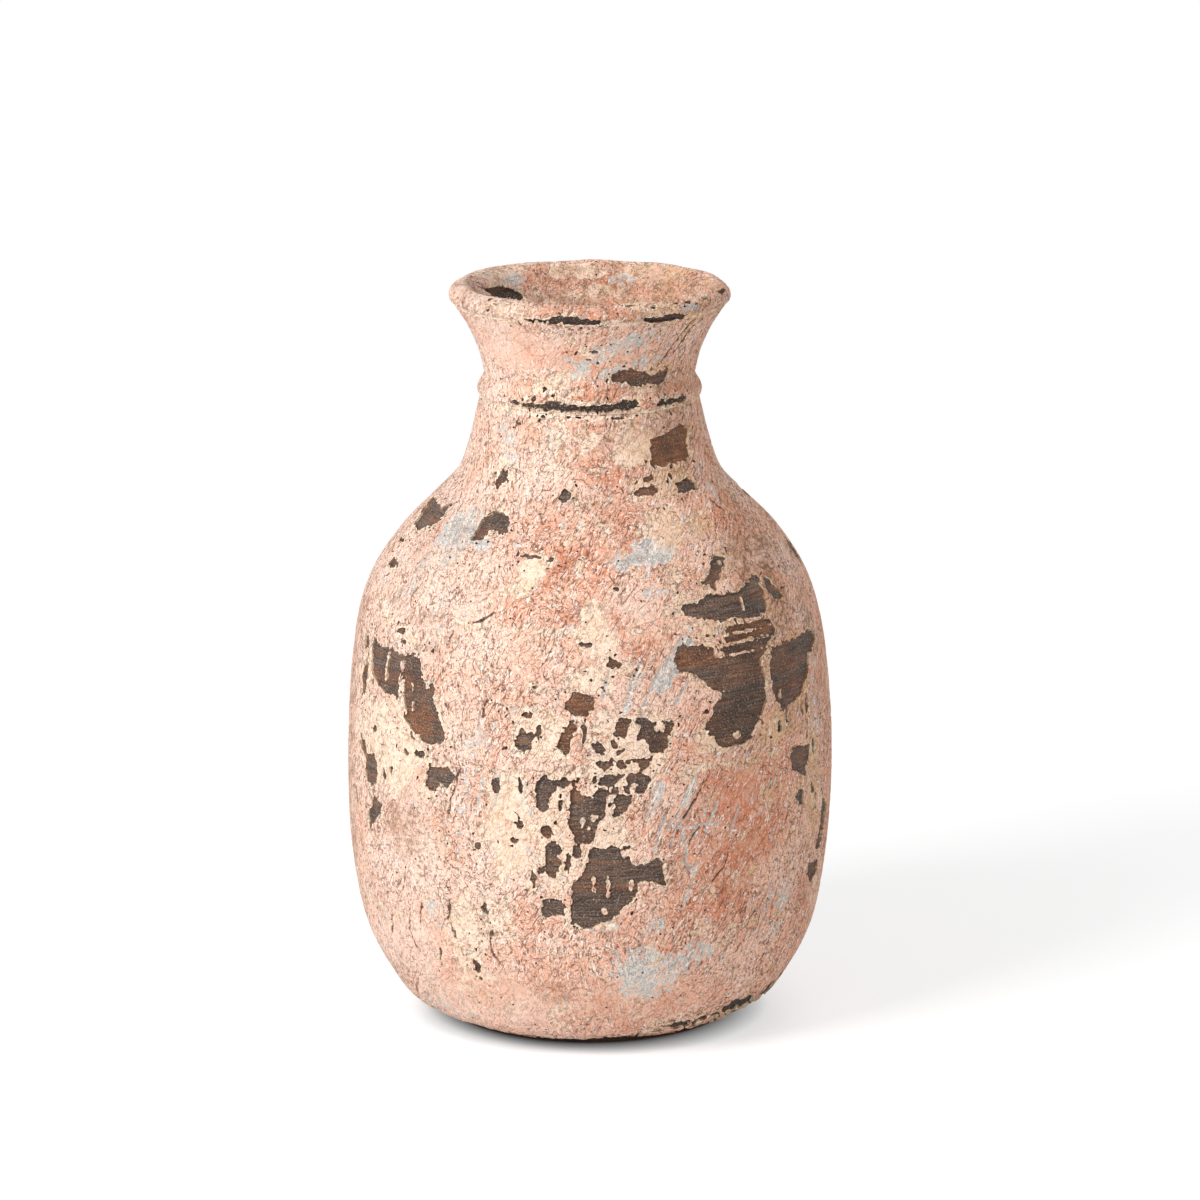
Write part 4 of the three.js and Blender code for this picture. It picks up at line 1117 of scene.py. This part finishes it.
def wood_profile(bands):
    """The wood's whole outline: base, outside under the crust, lip, bore and the hollow's floor."""
    profile = [(0.0, 0.0)]
    profile += [(radius, 0.0) for radius in np.linspace(2, BASE_RADIUS, BASE_RINGS)]
    profile += [(WORN_EDGE[1], WORN_EDGE[0])]
    for band in bands:
        spacing = MOUTH_ROWS if band.inside else CRUST_ROWS
        points = even_points(band.outline, band.start + 0.4, band.end - 0.4, spacing, WOOD_DEPTH)
        profile += [point for point in points if point[1] > WORN_EDGE[0] + 0.6]
    bore = Outline(BORE_PROFILE)
    profile += even_points(bore, 0, bore.total, BORE_ROWS, 0)
    profile += [(radius, FLOOR_THICKNESS) for radius in np.linspace(50, 0, FLOOR_RINGS)]
    return profile


def make_wood(bands, materials):
    """The turned body in one piece, spun from its outline, with worn grain and a worn foot."""
    bm = bmesh.new()
    vertices = [bm.verts.new((radius * MM, 0, height * MM)) for radius, height in wood_profile(bands)]
    edges = [bm.edges.new(pair) for pair in zip(vertices, vertices[1:])]
    bmesh.ops.spin(
        bm, geom=vertices + edges, cent=(0, 0, 0), axis=(0, 0, 1), angle=2 * math.pi, steps=WOOD_COLUMNS,
        use_merge=True,
    )
    bmesh.ops.remove_doubles(bm, verts=bm.verts, dist=0.01 * MM)
    bmesh.ops.recalc_face_normals(bm, faces=bm.faces)
    for face in bm.faces:
        face.smooth = True
        centre = face.calc_center_median() / MM
        reach = math.hypot(centre.x, centre.y)
        if centre.z < WORN_EDGE[0] + 0.1:
            face.material_index = 1
        elif centre.z < WALL_MIDDLE[0][-1] and reach < np.interp(centre.z, *WALL_MIDDLE):
            face.material_index = 2
    mesh = bpy.data.meshes.new("turned_body_wood")
    bm.to_mesh(mesh)
    bm.free()
    points = np.zeros(len(mesh.vertices) * 3)
    mesh.vertices.foreach_get("co", points)
    points = points.reshape(-1, 3) / MM
    normals = np.zeros(len(mesh.vertices) * 3)
    mesh.vertices.foreach_get("normal", normals)
    normals = normals.reshape(-1, 3)
    angle = np.arctan2(points[:, 0], -points[:, 1])
    radius, height = np.hypot(points[:, 0], points[:, 1]), points[:, 2]
    stretched = points * (0.06, 0.06, 1)
    relief = 0.09 * noise(stretched, 2.4, 71) + 0.1 * noise(stretched, 7, 72) - 0.08
    resting = smooth_step(0.6, 2.4, height)
    edge_wear = 0.5 * noise(points, 5, 73) * smooth_step(10, 3, height) * smooth_step(50, 56, radius)
    points += normals * ((relief + edge_wear) * resting)[:, None]
    mesh.vertices.foreach_set("co", (points * MM).astype(np.float32).ravel())
    store(mesh, "red", zone(REDDISH_WOOD, angle, height, radius))
    # Where the wood is painted nearly black: painted shade in the slits and the mouth's hole, and dark
    # patches elsewhere
    store(mesh, "black_and_shade", zone(BLACK_WOOD_AND_SLIT_SHADE, angle, height, radius))
    mesh.update()
    wood = bpy.data.objects.new("turned_body_wood", mesh)
    finish_piece(wood, "turned_body", materials)


def colour(code):
    """An sRGB hex colour as the linear values that shaders take."""
    parts = [int(code[place:place + 2], 16) / 255 for place in (1, 3, 5)]
    linear = [part / 12.92 if part <= 0.04045 else ((part + 0.055) / 1.055) ** 2.4 for part in parts]
    return (*linear, 1.0)


def add(tree, kind, inputs=None, **settings):
    """Adds a node with its settings, and feeds its inputs with values, outputs or nodes.

    A node stands for its first output in use, and a text for an sRGB hex colour.
    """
    node = tree.nodes.new(kind)
    for name, value in settings.items():
        setattr(node, name, value)
    for key, value in (inputs or {}).items():
        if isinstance(value, bpy.types.Node):
            value = next(output for output in value.outputs if output.enabled)
        if isinstance(value, bpy.types.NodeSocket):
            tree.links.new(value, node.inputs[key])
        else:
            node.inputs[key].default_value = colour(value) if isinstance(value, str) else value
    return node


def new_material(name):
    """An empty material, its node tree and its pieces' own coordinates in millimetres."""
    material = bpy.data.materials.new(name)
    material.use_nodes = True
    tree = material.node_tree
    tree.nodes.clear()
    place = add(tree, "ShaderNodeTexCoord").outputs["Object"]
    place = add(tree, "ShaderNodeVectorMath", {0: place, "Scale": 1 / MM}, operation="SCALE")
    return material, tree, place


def ground_and_coat(tree, field, mottle, cloud, jag):
    """The cream chalk ground with what is left of the salmon coat on it, and how much that covers."""
    tan = add(tree, "ShaderNodeMapRange", {0: mottle, 1: 0.42, 2: 0.68})
    ground = add(tree, "ShaderNodeMix", {0: tan, 6: CREAM, 7: TAN_CREAM}, data_type="RGBA")
    # Tan on the right: partly aged ground, partly painted shade
    ground = add(tree, "ShaderNodeMix", {0: field["aged_and_shaded"], 6: ground, 7: TAN_AND_SHADED_CREAM}, data_type="RGBA")

    # The coat runs from pale pink to burnt coral, and is paler on the left: partly bleaching, partly painted
    # light
    depth = add(tree, "ShaderNodeMath", {0: cloud, 1: 0.9, 2: -0.42}, operation="MULTIPLY_ADD")
    depth = add(tree, "ShaderNodeMath", {0: depth, 1: field["deep"]}, operation="ADD", use_clamp=True)
    coat = add(tree, "ShaderNodeMix", {0: depth, 6: SALMON, 7: BURNT_CORAL}, data_type="RGBA")
    pale = add(tree, "ShaderNodeMapRange", {0: field["deep"], 1: -0.5, 2: 0.1, 3: 1.0, 4: 0.0})
    shade = add(tree, "ShaderNodeMapRange", {0: mottle, 1: 0.4, 2: 0.66, 4: 0.2})
    for share, tone in ((pale, PALE_AND_LIT_PINK), (shade, SHADED_SALMON)):
        coat = add(tree, "ShaderNodeMix", {0: share, 6: coat, 7: tone}, data_type="RGBA")

    # It holds where its field is above 0, broken up by the grit there, and is thinner near that edge
    edge = add(tree, "ShaderNodeMath", {0: field["coat"], 1: jag}, operation="ADD")
    held = add(tree, "ShaderNodeMapRange", {0: edge, 1: -0.02, 2: 0.04})
    worn = add(tree, "ShaderNodeMapRange", {0: edge, 1: 0.0, 2: 0.7, 3: 0.62, 4: 1.0})
    cover = add(tree, "ShaderNodeMath", {0: held, 1: worn}, operation="MULTIPLY")
    body = add(tree, "ShaderNodeMix", {0: cover, 6: ground, 7: coat}, data_type="RGBA")
    return body, edge, cover


def brush_strokes(tree, field, place, mottle):
    """Signed noise drawn out along the brush: it leans to the right, and stands upright on the left.

    Between the strokes it curls. The second result says how busy the strokes are at each spot.
    """
    sheet = add(tree, "ShaderNodeAttribute", attribute_name="sheet").outputs["Vector"]
    strokes = []
    for lean in (LEANING_STROKES, UPRIGHT_STROKES):
        turn = math.radians(90 - lean)
        turned = add(tree, "ShaderNodeMapping", {"Vector": sheet, "Rotation": (0, 0, turn)})
        drawn = add(tree, "ShaderNodeVectorMath", {0: turned, 1: STROKE_SHAPE}, operation="MULTIPLY")
        strokes.append(add(tree, "ShaderNodeTexNoise", {
            "Vector": drawn, "Scale": 1.0, "Detail": 1.5, "Roughness": 0.55, "Distortion": 0.5,
        }))
    stroke = add(tree, "ShaderNodeMix", {0: field["upright"], 2: strokes[0], 3: strokes[1]})
    curl = add(tree, "ShaderNodeTexNoise", {
        "Vector": place, "Scale": 1 / CURL_SIZE, "Detail": 1.5, "Roughness": 0.55, "Distortion": 0.9,
    })
    leaning = add(tree, "ShaderNodeSeparateXYZ", {0: sheet}).outputs["Z"]
    stroke = add(tree, "ShaderNodeMix", {0: leaning, 2: curl, 3: stroke})
    stroke = add(tree, "ShaderNodeMath", {0: stroke, 1: -0.5}, operation="ADD")
    busy = add(tree, "ShaderNodeMapRange", {0: mottle, 1: 0.46, 2: 0.57, 3: 0.16, 4: 1.0})
    loud = add(tree, "ShaderNodeMapRange", {0: field["quiet"], 1: -0.8, 2: 1.0, 3: 1.7, 4: 0.3})
    busy = add(tree, "ShaderNodeMath", {0: busy, 1: loud}, operation="MULTIPLY")
    return stroke, busy


def brown_and_shade_lines(tree, signed_fields, grit, hushed, spared):
    """Thin lines where any of the signed fields passes through zero, broken up by the grit: the paint's own
    brown lines, and a line of painted shade along each stroke.
    """
    total = 0.0
    for value, half_width, weight in signed_fields:
        line = add(tree, "ShaderNodeMath", {0: value}, operation="ABSOLUTE")
        line = add(tree, "ShaderNodeMapRange", {0: line, 1: half_width / 5, 2: half_width, 3: weight, 4: 0.0})
        total = add(tree, "ShaderNodeMath", {0: total, 1: line}, operation="MAXIMUM")
    gaps = add(tree, "ShaderNodeMapRange", {0: grit, 1: 0.42, 2: 0.54, 3: 0.15, 4: 1.0})
    for share in (spared, hushed):
        gaps = add(tree, "ShaderNodeMath", {0: gaps, 1: share}, operation="MULTIPLY")
    return add(tree, "ShaderNodeMath", {0: total, 1: gaps}, operation="MULTIPLY")


def mineral_paint():
    """Distemper: pigment and chalk in glue, brushed on thick, dead matt, worn through to its ground."""
    material, tree, place = new_material("salmon_distemper_over_chalk")
    names = (
        "coat", "blue", "grime", "deep", "wrinkle", "fine_wrinkle", "tool", "crack", "chip_gap", "texture",
        "upright", "quiet", "aged_and_shaded",
    )
    field = {name: add(tree, "ShaderNodeAttribute", attribute_name=name).outputs["Fac"] for name in names}
    grain, grit, mottle, cloud = (
        add(tree, "ShaderNodeTexNoise", {
            "Vector": place, "Scale": 1 / size, "Detail": detail, "Roughness": rough,
        })
        for size, detail, rough in (GRAIN, GRIT, MOTTLE, CLOUD)
    )
    jag = add(tree, "ShaderNodeMath", {0: grit, 1: 0.76, 2: -0.38}, operation="MULTIPLY_ADD")
    body, edge, cover = ground_and_coat(tree, field, mottle, cloud, jag)

    # Grey-blue limewash, as flecks in worn places and as streaks
    blue_edge = add(tree, "ShaderNodeMath", {0: jag, 1: 3.2, 2: field["blue"]}, operation="MULTIPLY_ADD")
    blue_held = add(tree, "ShaderNodeMapRange", {0: blue_edge, 1: -0.02, 2: 0.06, 4: 0.9})
    greyer = add(tree, "ShaderNodeMapRange", {0: blue_edge, 1: 0.0, 2: 0.7})
    blue = add(tree, "ShaderNodeMix", {0: greyer, 6: PALE_LIMEWASH, 7: GREY_LIMEWASH}, data_type="RGBA")

    # Rubbed crests nearly white, hollows darker, and a crisp scatter of pale and brown grains
    crest = add(tree, "ShaderNodeMapRange", {0: field["texture"], 1: 0.0, 2: 0.1, 4: 0.6})
    crest = add(tree, "ShaderNodeMath", {0: crest, 1: grit}, operation="MULTIPLY")
    low = add(tree, "ShaderNodeMapRange", {0: field["texture"], 1: -0.4, 2: -0.14, 3: 0.3, 4: 0.0})
    hushed = add(tree, "ShaderNodeMapRange", {0: field["quiet"], 1: 0.0, 2: 0.8, 3: 1.0, 4: 0.5})
    speck = add(tree, "ShaderNodeMapRange", {0: grain, 1: 0.58, 2: 0.64, 4: 0.56})
    speck = add(tree, "ShaderNodeMath", {0: speck, 1: hushed}, operation="MULTIPLY")
    fleck = add(tree, "ShaderNodeMapRange", {0: grain, 1: 0.33, 2: 0.4, 3: 0.75, 4: 0.0})
    fleck = add(tree, "ShaderNodeMath", {0: fleck, 1: hushed}, operation="MULTIPLY")

    # Each stroke is drawn embossed: a painted highlight along its one side, and a brown line of painted shade
    # along the other
    stroke, busy = brush_strokes(tree, field, place, mottle)
    stroke_highlight = add(tree, "ShaderNodeMath", {0: stroke, 1: 0.05}, operation="ADD")
    stroke_highlight = add(tree, "ShaderNodeMath", {0: stroke_highlight}, operation="ABSOLUTE")
    stroke_highlight = add(tree, "ShaderNodeMath", {0: stroke_highlight, 1: busy}, operation="DIVIDE")
    stroke_highlight = add(tree, "ShaderNodeMapRange", {0: stroke_highlight, 1: 0.012, 2: 0.044, 3: 0.8, 4: 0.0})
    stroke_shade_side = add(tree, "ShaderNodeMath", {0: stroke, 1: busy}, operation="DIVIDE")
    spared = add(tree, "ShaderNodeMath", {0: blue_held, 1: -0.6, 2: 1.0}, operation="MULTIPLY_ADD")
    line = brown_and_shade_lines(tree, (
        (stroke_shade_side, 0.04, 0.9), (field["wrinkle"], 0.06, 0.8), (field["fine_wrinkle"], 0.055, 0.65),
        (field["tool"], 0.08, 0.9), (edge, 0.04, 0.5), (blue_edge, 0.07, 0.4),
    ), grit, hushed, spared)

    # Cracks are nearly black, and so is the painted shade in the creases that comes in the same field; grime
    # lies thickest in the hollows
    crack = add(tree, "ShaderNodeMath", {0: grit, 1: 1.2, 2: field["crack"]}, operation="MULTIPLY_ADD")
    crack = add(tree, "ShaderNodeMapRange", {0: crack, 1: 1.15, 2: 1.5, 4: 0.85})
    hollow = add(tree, "ShaderNodeMapRange", {0: mottle, 1: 0.38, 2: 0.62, 3: 0.2, 4: 1.0})
    grime = add(tree, "ShaderNodeMath", {0: field["grime"], 1: hollow}, operation="MULTIPLY")
    grime = add(tree, "ShaderNodeMath", {0: grime, 1: 0.75}, operation="MULTIPLY")

    # A chip's edge is bright only where the coat came off with it
    lip = add(tree, "ShaderNodeMath", {0: jag, 1: 1.2, 2: field["chip_gap"]}, operation="MULTIPLY_ADD")
    lip = add(tree, "ShaderNodeMapRange", {0: lip, 1: 0.1, 2: 0.35, 3: 0.9, 4: 0.0})
    bright = add(tree, "ShaderNodeMapRange", {0: mottle, 1: 0.48, 2: 0.56})
    lip = add(tree, "ShaderNodeMath", {0: lip, 1: bright}, operation="MULTIPLY")

    # Pits, about 0.8 mm across
    pits = add(tree, "ShaderNodeTexVoronoi", {"Vector": place, "Scale": 1 / PIT_SPACING, "Randomness": 1.0})
    rim = add(tree, "ShaderNodeMath", {0: jag, 1: 0.12, 2: pits}, operation="MULTIPLY_ADD")
    rim = add(tree, "ShaderNodeMapRange", {0: rim, 1: 0.08, 2: 0.11, 3: 1.0, 4: 0.0})
    chosen = add(tree, "ShaderNodeSeparateColor", {0: pits.outputs["Color"]})
    chosen = add(tree, "ShaderNodeMath", {0: chosen, 1: 0.55}, operation="GREATER_THAN")
    pit = add(tree, "ShaderNodeMath", {0: rim, 1: chosen}, operation="MULTIPLY")

    # Of these layers, the stroke highlight and the strokes' share of the brown lines are painted light and
    # shade, and the crack field also brings painted shade in the creases
    for share, tone in (
        (blue_held, blue), (crest, RUBBED_CREST), (low, HOLLOW_BROWN), (speck, BROWN_GRAIN),
        (fleck, PALE_GRAIN), (stroke_highlight, STROKE_HIGHLIGHT), (line, LINE_BROWN_AND_SHADE), (crack, CRACK_DARK),
        (grime, GRIME_BROWN), (lip, FRESH_CHALK), (pit, PIT_DARK),
    ):
        body = add(tree, "ShaderNodeMix", {0: share, 6: body, 7: tone}, data_type="RGBA")
    rise = 0.0
    for part, height in ((cover, 0.45), (grain, 0.9), (grit, 0.8), (mottle, 0.35), (line, -0.9), (pit, -1.0)):
        rise = add(tree, "ShaderNodeMath", {0: part, 1: height, 2: rise}, operation="MULTIPLY_ADD")
    bump = add(tree, "ShaderNodeBump", {"Height": rise, "Distance": 0.35 * MM, "Strength": 1.0})
    finish_material(tree, body, 0.92, 0.2, bump)
    return material


def finish_material(tree, body, rough, shine, bump):
    """Ends a material with its surface, from its colour, roughness, shine and bump."""
    shader = add(tree, "ShaderNodeBsdfPrincipled", {
        "Base Color": body, "Roughness": rough, "Specular IOR Level": shine, "Normal": bump,
    })
    add(tree, "ShaderNodeOutputMaterial", {0: shader})


def broken_chalk():
    """The chalk ground's fresh broken edge: off-white, grainy and dead matt."""
    material, tree, place = new_material("broken_chalk_ground")
    grit = add(tree, "ShaderNodeTexNoise", {"Vector": place, "Scale": 1 / 0.8, "Detail": 3.0})
    stain = add(tree, "ShaderNodeTexNoise", {"Vector": place, "Scale": 1 / 7, "Detail": 2.0})
    body = add(tree, "ShaderNodeMix", {0: grit, 6: "#F6E3C8", 7: "#C9A582"}, data_type="RGBA")
    stain = add(tree, "ShaderNodeMapRange", {0: stain, 1: 0.4, 2: 0.55, 4: 0.85})
    body = add(tree, "ShaderNodeMix", {0: stain, 6: body, 7: "#80583F"}, data_type="RGBA")
    bump = add(tree, "ShaderNodeBump", {"Height": grit, "Distance": 0.3 * MM, "Strength": 0.8})
    finish_material(tree, body, 0.95, 0.15, bump)
    return material


def side_grain(name, dark, light, red_tone, dust_share):
    """Old hardwood turned across a lathe: close dark lines run round it, with dust in the pores."""
    material, tree, place = new_material(name)
    flat = add(tree, "ShaderNodeMapping", {
        "Vector": place, "Scale": (0.05, 0.05, 1.0), "Rotation": (0.02, 0.03, 0),
    })
    lines = add(tree, "ShaderNodeTexNoise", {
        "Vector": flat, "Scale": 1 / WOOD_LINE_SIZE, "Detail": 4.0, "Roughness": 0.75, "Distortion": 0.2,
    })
    bands = add(tree, "ShaderNodeTexNoise", {"Vector": flat, "Scale": 1 / WOOD_BAND_SIZE, "Detail": 2.0})
    specks = add(tree, "ShaderNodeTexNoise", {"Vector": place, "Scale": 1 / 0.6, "Detail": 1.0})
    stain = add(tree, "ShaderNodeTexNoise", {"Vector": place, "Scale": 1 / 9, "Detail": 3.0})
    red, black_and_shade = (
        add(tree, "ShaderNodeAttribute", attribute_name=key).outputs["Fac"] for key in ("red", "black_and_shade")
    )
    tone = add(tree, "ShaderNodeMapRange", {0: lines, 1: 0.38, 2: 0.62})
    body = add(tree, "ShaderNodeMix", {0: tone, 6: dark, 7: light}, data_type="RGBA")
    warm = add(tree, "ShaderNodeMapRange", {0: bands, 1: 0.48, 2: 0.62, 4: 0.6})
    warm = add(tree, "ShaderNodeMath", {0: warm, 1: red}, operation="ADD", use_clamp=True)
    warm = add(tree, "ShaderNodeMath", {0: warm, 1: 0.85}, operation="MULTIPLY")
    warm_wood = add(tree, "ShaderNodeMix", {0: tone, 6: "#6A3D22", 7: red_tone}, data_type="RGBA")
    shade = add(tree, "ShaderNodeMapRange", {0: stain, 1: 0.4, 2: 0.62, 4: 0.5})
    # Nearly black in the listed stretches: painted shade in the slits and in the mouth's hole, and dark
    # patches of wood elsewhere
    black_and_shade = add(tree, "ShaderNodeMath", {0: black_and_shade, 1: 0.75}, operation="MULTIPLY")
    dust = add(tree, "ShaderNodeMapRange", {0: specks, 1: 0.58, 2: 0.7, 4: dust_share})
    pores = add(tree, "ShaderNodeMapRange", {0: specks, 1: 0.32, 2: 0.41, 3: 0.6, 4: 0.0})
    for share, layer in (
        (warm, warm_wood), (shade, "#362A25"), (black_and_shade, "#1D1817"), (dust, "#B0A192"), (pores, "#1F1815"),
    ):
        body = add(tree, "ShaderNodeMix", {0: share, 6: body, 7: layer}, data_type="RGBA")
    bump = add(tree, "ShaderNodeBump", {"Height": lines, "Distance": 0.35 * MM, "Strength": 0.8})
    rough = add(tree, "ShaderNodeMapRange", {0: lines, 3: 0.62, 4: 0.85})
    finish_material(tree, body, rough, 0.35, bump)
    return material


def end_grain():
    """The base's sawn end grain: growth rings round the heart, which lies off the middle, grey with wear."""
    material, tree, place = new_material("worn_end_grain")
    heart = add(tree, "ShaderNodeMapping", {"Vector": place, "Location": (-14.0, 9.0, 0.0)})
    rings = add(tree, "ShaderNodeTexWave", {
        "Vector": heart, "Scale": WAVE_SPACING / GROWTH_RING_SPACING, "Distortion": 3.0, "Detail": 3.0,
        "Detail Scale": 0.6,
    }, wave_type="RINGS", rings_direction="Z").outputs["Fac"]
    grit = add(tree, "ShaderNodeTexNoise", {"Vector": place, "Scale": 1 / 1.2, "Detail": 4.0})
    stain = add(tree, "ShaderNodeTexNoise", {"Vector": place, "Scale": 1 / 22, "Detail": 3.0})
    body = add(tree, "ShaderNodeMix", {0: rings, 6: "#5A4636", 7: "#7D6550"}, data_type="RGBA")
    dark = add(tree, "ShaderNodeMapRange", {0: stain, 1: 0.4, 2: 0.65, 4: 0.7})
    dust = add(tree, "ShaderNodeMapRange", {0: grit, 1: 0.5, 2: 0.64, 4: 0.6})
    for share, tone in ((dark, "#3D322B"), (dust, "#8F7C69")):
        body = add(tree, "ShaderNodeMix", {0: share, 6: body, 7: tone}, data_type="RGBA")
    rise = add(tree, "ShaderNodeMath", {0: rings, 1: 0.5, 2: grit}, operation="MULTIPLY_ADD")
    bump = add(tree, "ShaderNodeBump", {"Height": rise, "Distance": 0.4 * MM, "Strength": 0.7})
    finish_material(tree, body, 0.88, 0.25, bump)
    return material


def make_floor():
    """A white sweep that keeps the pot's soft shadow, with a painted contact shadow round the foot, and runs
    out into a white background.
    """
    bm = bmesh.new()
    bmesh.ops.create_grid(bm, x_segments=1, y_segments=1, size=FLOOR_HALF * MM)
    mesh = bpy.data.meshes.new("white_floor")
    bm.to_mesh(mesh)
    bm.free()
    floor = bpy.data.objects.new("white_floor", mesh)
    bpy.context.scene.collection.objects.link(floor)
    material, tree, place = new_material("white_paper_sweep")
    seen = add(tree, "ShaderNodeLightPath").outputs["Is Camera Ray"]
    reach = add(tree, "ShaderNodeVectorMath", {0: place}, operation="LENGTH")
    # The lift is left off round the foot, which paints a dark contact shadow on the floor there
    lift = add(tree, "ShaderNodeMapRange", {
        0: reach, 1: CONTACT_SHADOW_START, 2: CONTACT_SHADOW_END, 3: 0.0, 4: FLOOR_LIFT,
    })
    fade = add(tree, "ShaderNodeMapRange", {0: reach, 1: FADE_START, 2: FADE_END})
    paper = add(tree, "ShaderNodeBsdfDiffuse", {"Color": "#F2F2F2"})
    shadow = add(tree, "ShaderNodeBsdfDiffuse", {"Color": (0.5, 0.5, 0.5, 1.0)})
    lifted = add(tree, "ShaderNodeEmission", {"Color": WHITE, "Strength": lift})
    near = add(tree, "ShaderNodeAddShader", {0: shadow, 1: lifted})
    white = add(tree, "ShaderNodeEmission", {"Color": WHITE, "Strength": 1.0})
    view = add(tree, "ShaderNodeMixShader", {0: fade, 1: near, 2: white})
    mixed = add(tree, "ShaderNodeMixShader", {0: seen, 1: paper, 2: view})
    add(tree, "ShaderNodeOutputMaterial", {0: mixed})
    mesh.materials.append(material)


def make_camera():
    """The photograph's view: from 2.3 m in front and 0.7 m up, looking 13 degrees down."""
    camera = bpy.data.objects.new("camera", bpy.data.cameras.new("camera"))
    bpy.context.scene.collection.objects.link(camera)
    camera.data.sensor_width = CAMERA_SENSOR
    camera.data.lens = CAMERA_LENS
    camera.data.shift_x = CAMERA_SHIFT
    camera.location = CAMERA_PLACE
    camera.rotation_euler = (math.radians(CAMERA_TILT), 0, 0)
    bpy.context.scene.camera = camera


def make_lamp(name, place, size, power):
    """A square soft box that faces the pot's middle."""
    lamp = bpy.data.objects.new(name, bpy.data.lights.new(name, "AREA"))
    bpy.context.scene.collection.objects.link(lamp)
    lamp.data.shape = "SQUARE"
    lamp.data.size = size
    lamp.data.energy = power
    lamp.location = place
    lamp.rotation_euler = (Vector(LAMP_AIM) - lamp.location).to_track_quat("-Z", "Y").to_euler()


def make_light():
    """Soft studio light from a few soft boxes, in a bright room that the camera sees as white."""
    for lamp in LAMPS:
        make_lamp(*lamp)
    world = bpy.data.worlds.new("white_room")
    world.use_nodes = True
    tree = world.node_tree
    tree.nodes.clear()
    path = add(tree, "ShaderNodeLightPath").outputs
    seen = path["Is Camera Ray"]
    for ray in ("Is Glossy Ray", "Is Transmission Ray"):
        seen = add(tree, "ShaderNodeMath", {0: seen, 1: path[ray]}, operation="MAXIMUM")
    room = add(tree, "ShaderNodeBackground", {"Color": WHITE, "Strength": ROOM_LIGHT})
    white = add(tree, "ShaderNodeBackground", {"Color": WHITE, "Strength": 1.0})
    mixed = add(tree, "ShaderNodeMixShader", {0: seen, 1: room, 2: white})
    add(tree, "ShaderNodeOutputWorld", {0: mixed})
    bpy.context.scene.world = world
    bpy.context.scene.view_settings.view_transform = "Standard"


bands = paint_bands()
crust_materials = [mineral_paint(), broken_chalk()]
wood_materials = [
    side_grain("old_turned_hardwood", "#352A25", "#7D6557", "#9B6440", 0.5),
    end_grain(),
    side_grain("bare_bored_hardwood", "#30261F", "#55453A", "#5E4230", 0.15),
]
make_wood(bands, wood_materials)
for band in bands:
    make_crust(band, crust_materials)
make_floor()
make_camera()
make_light()
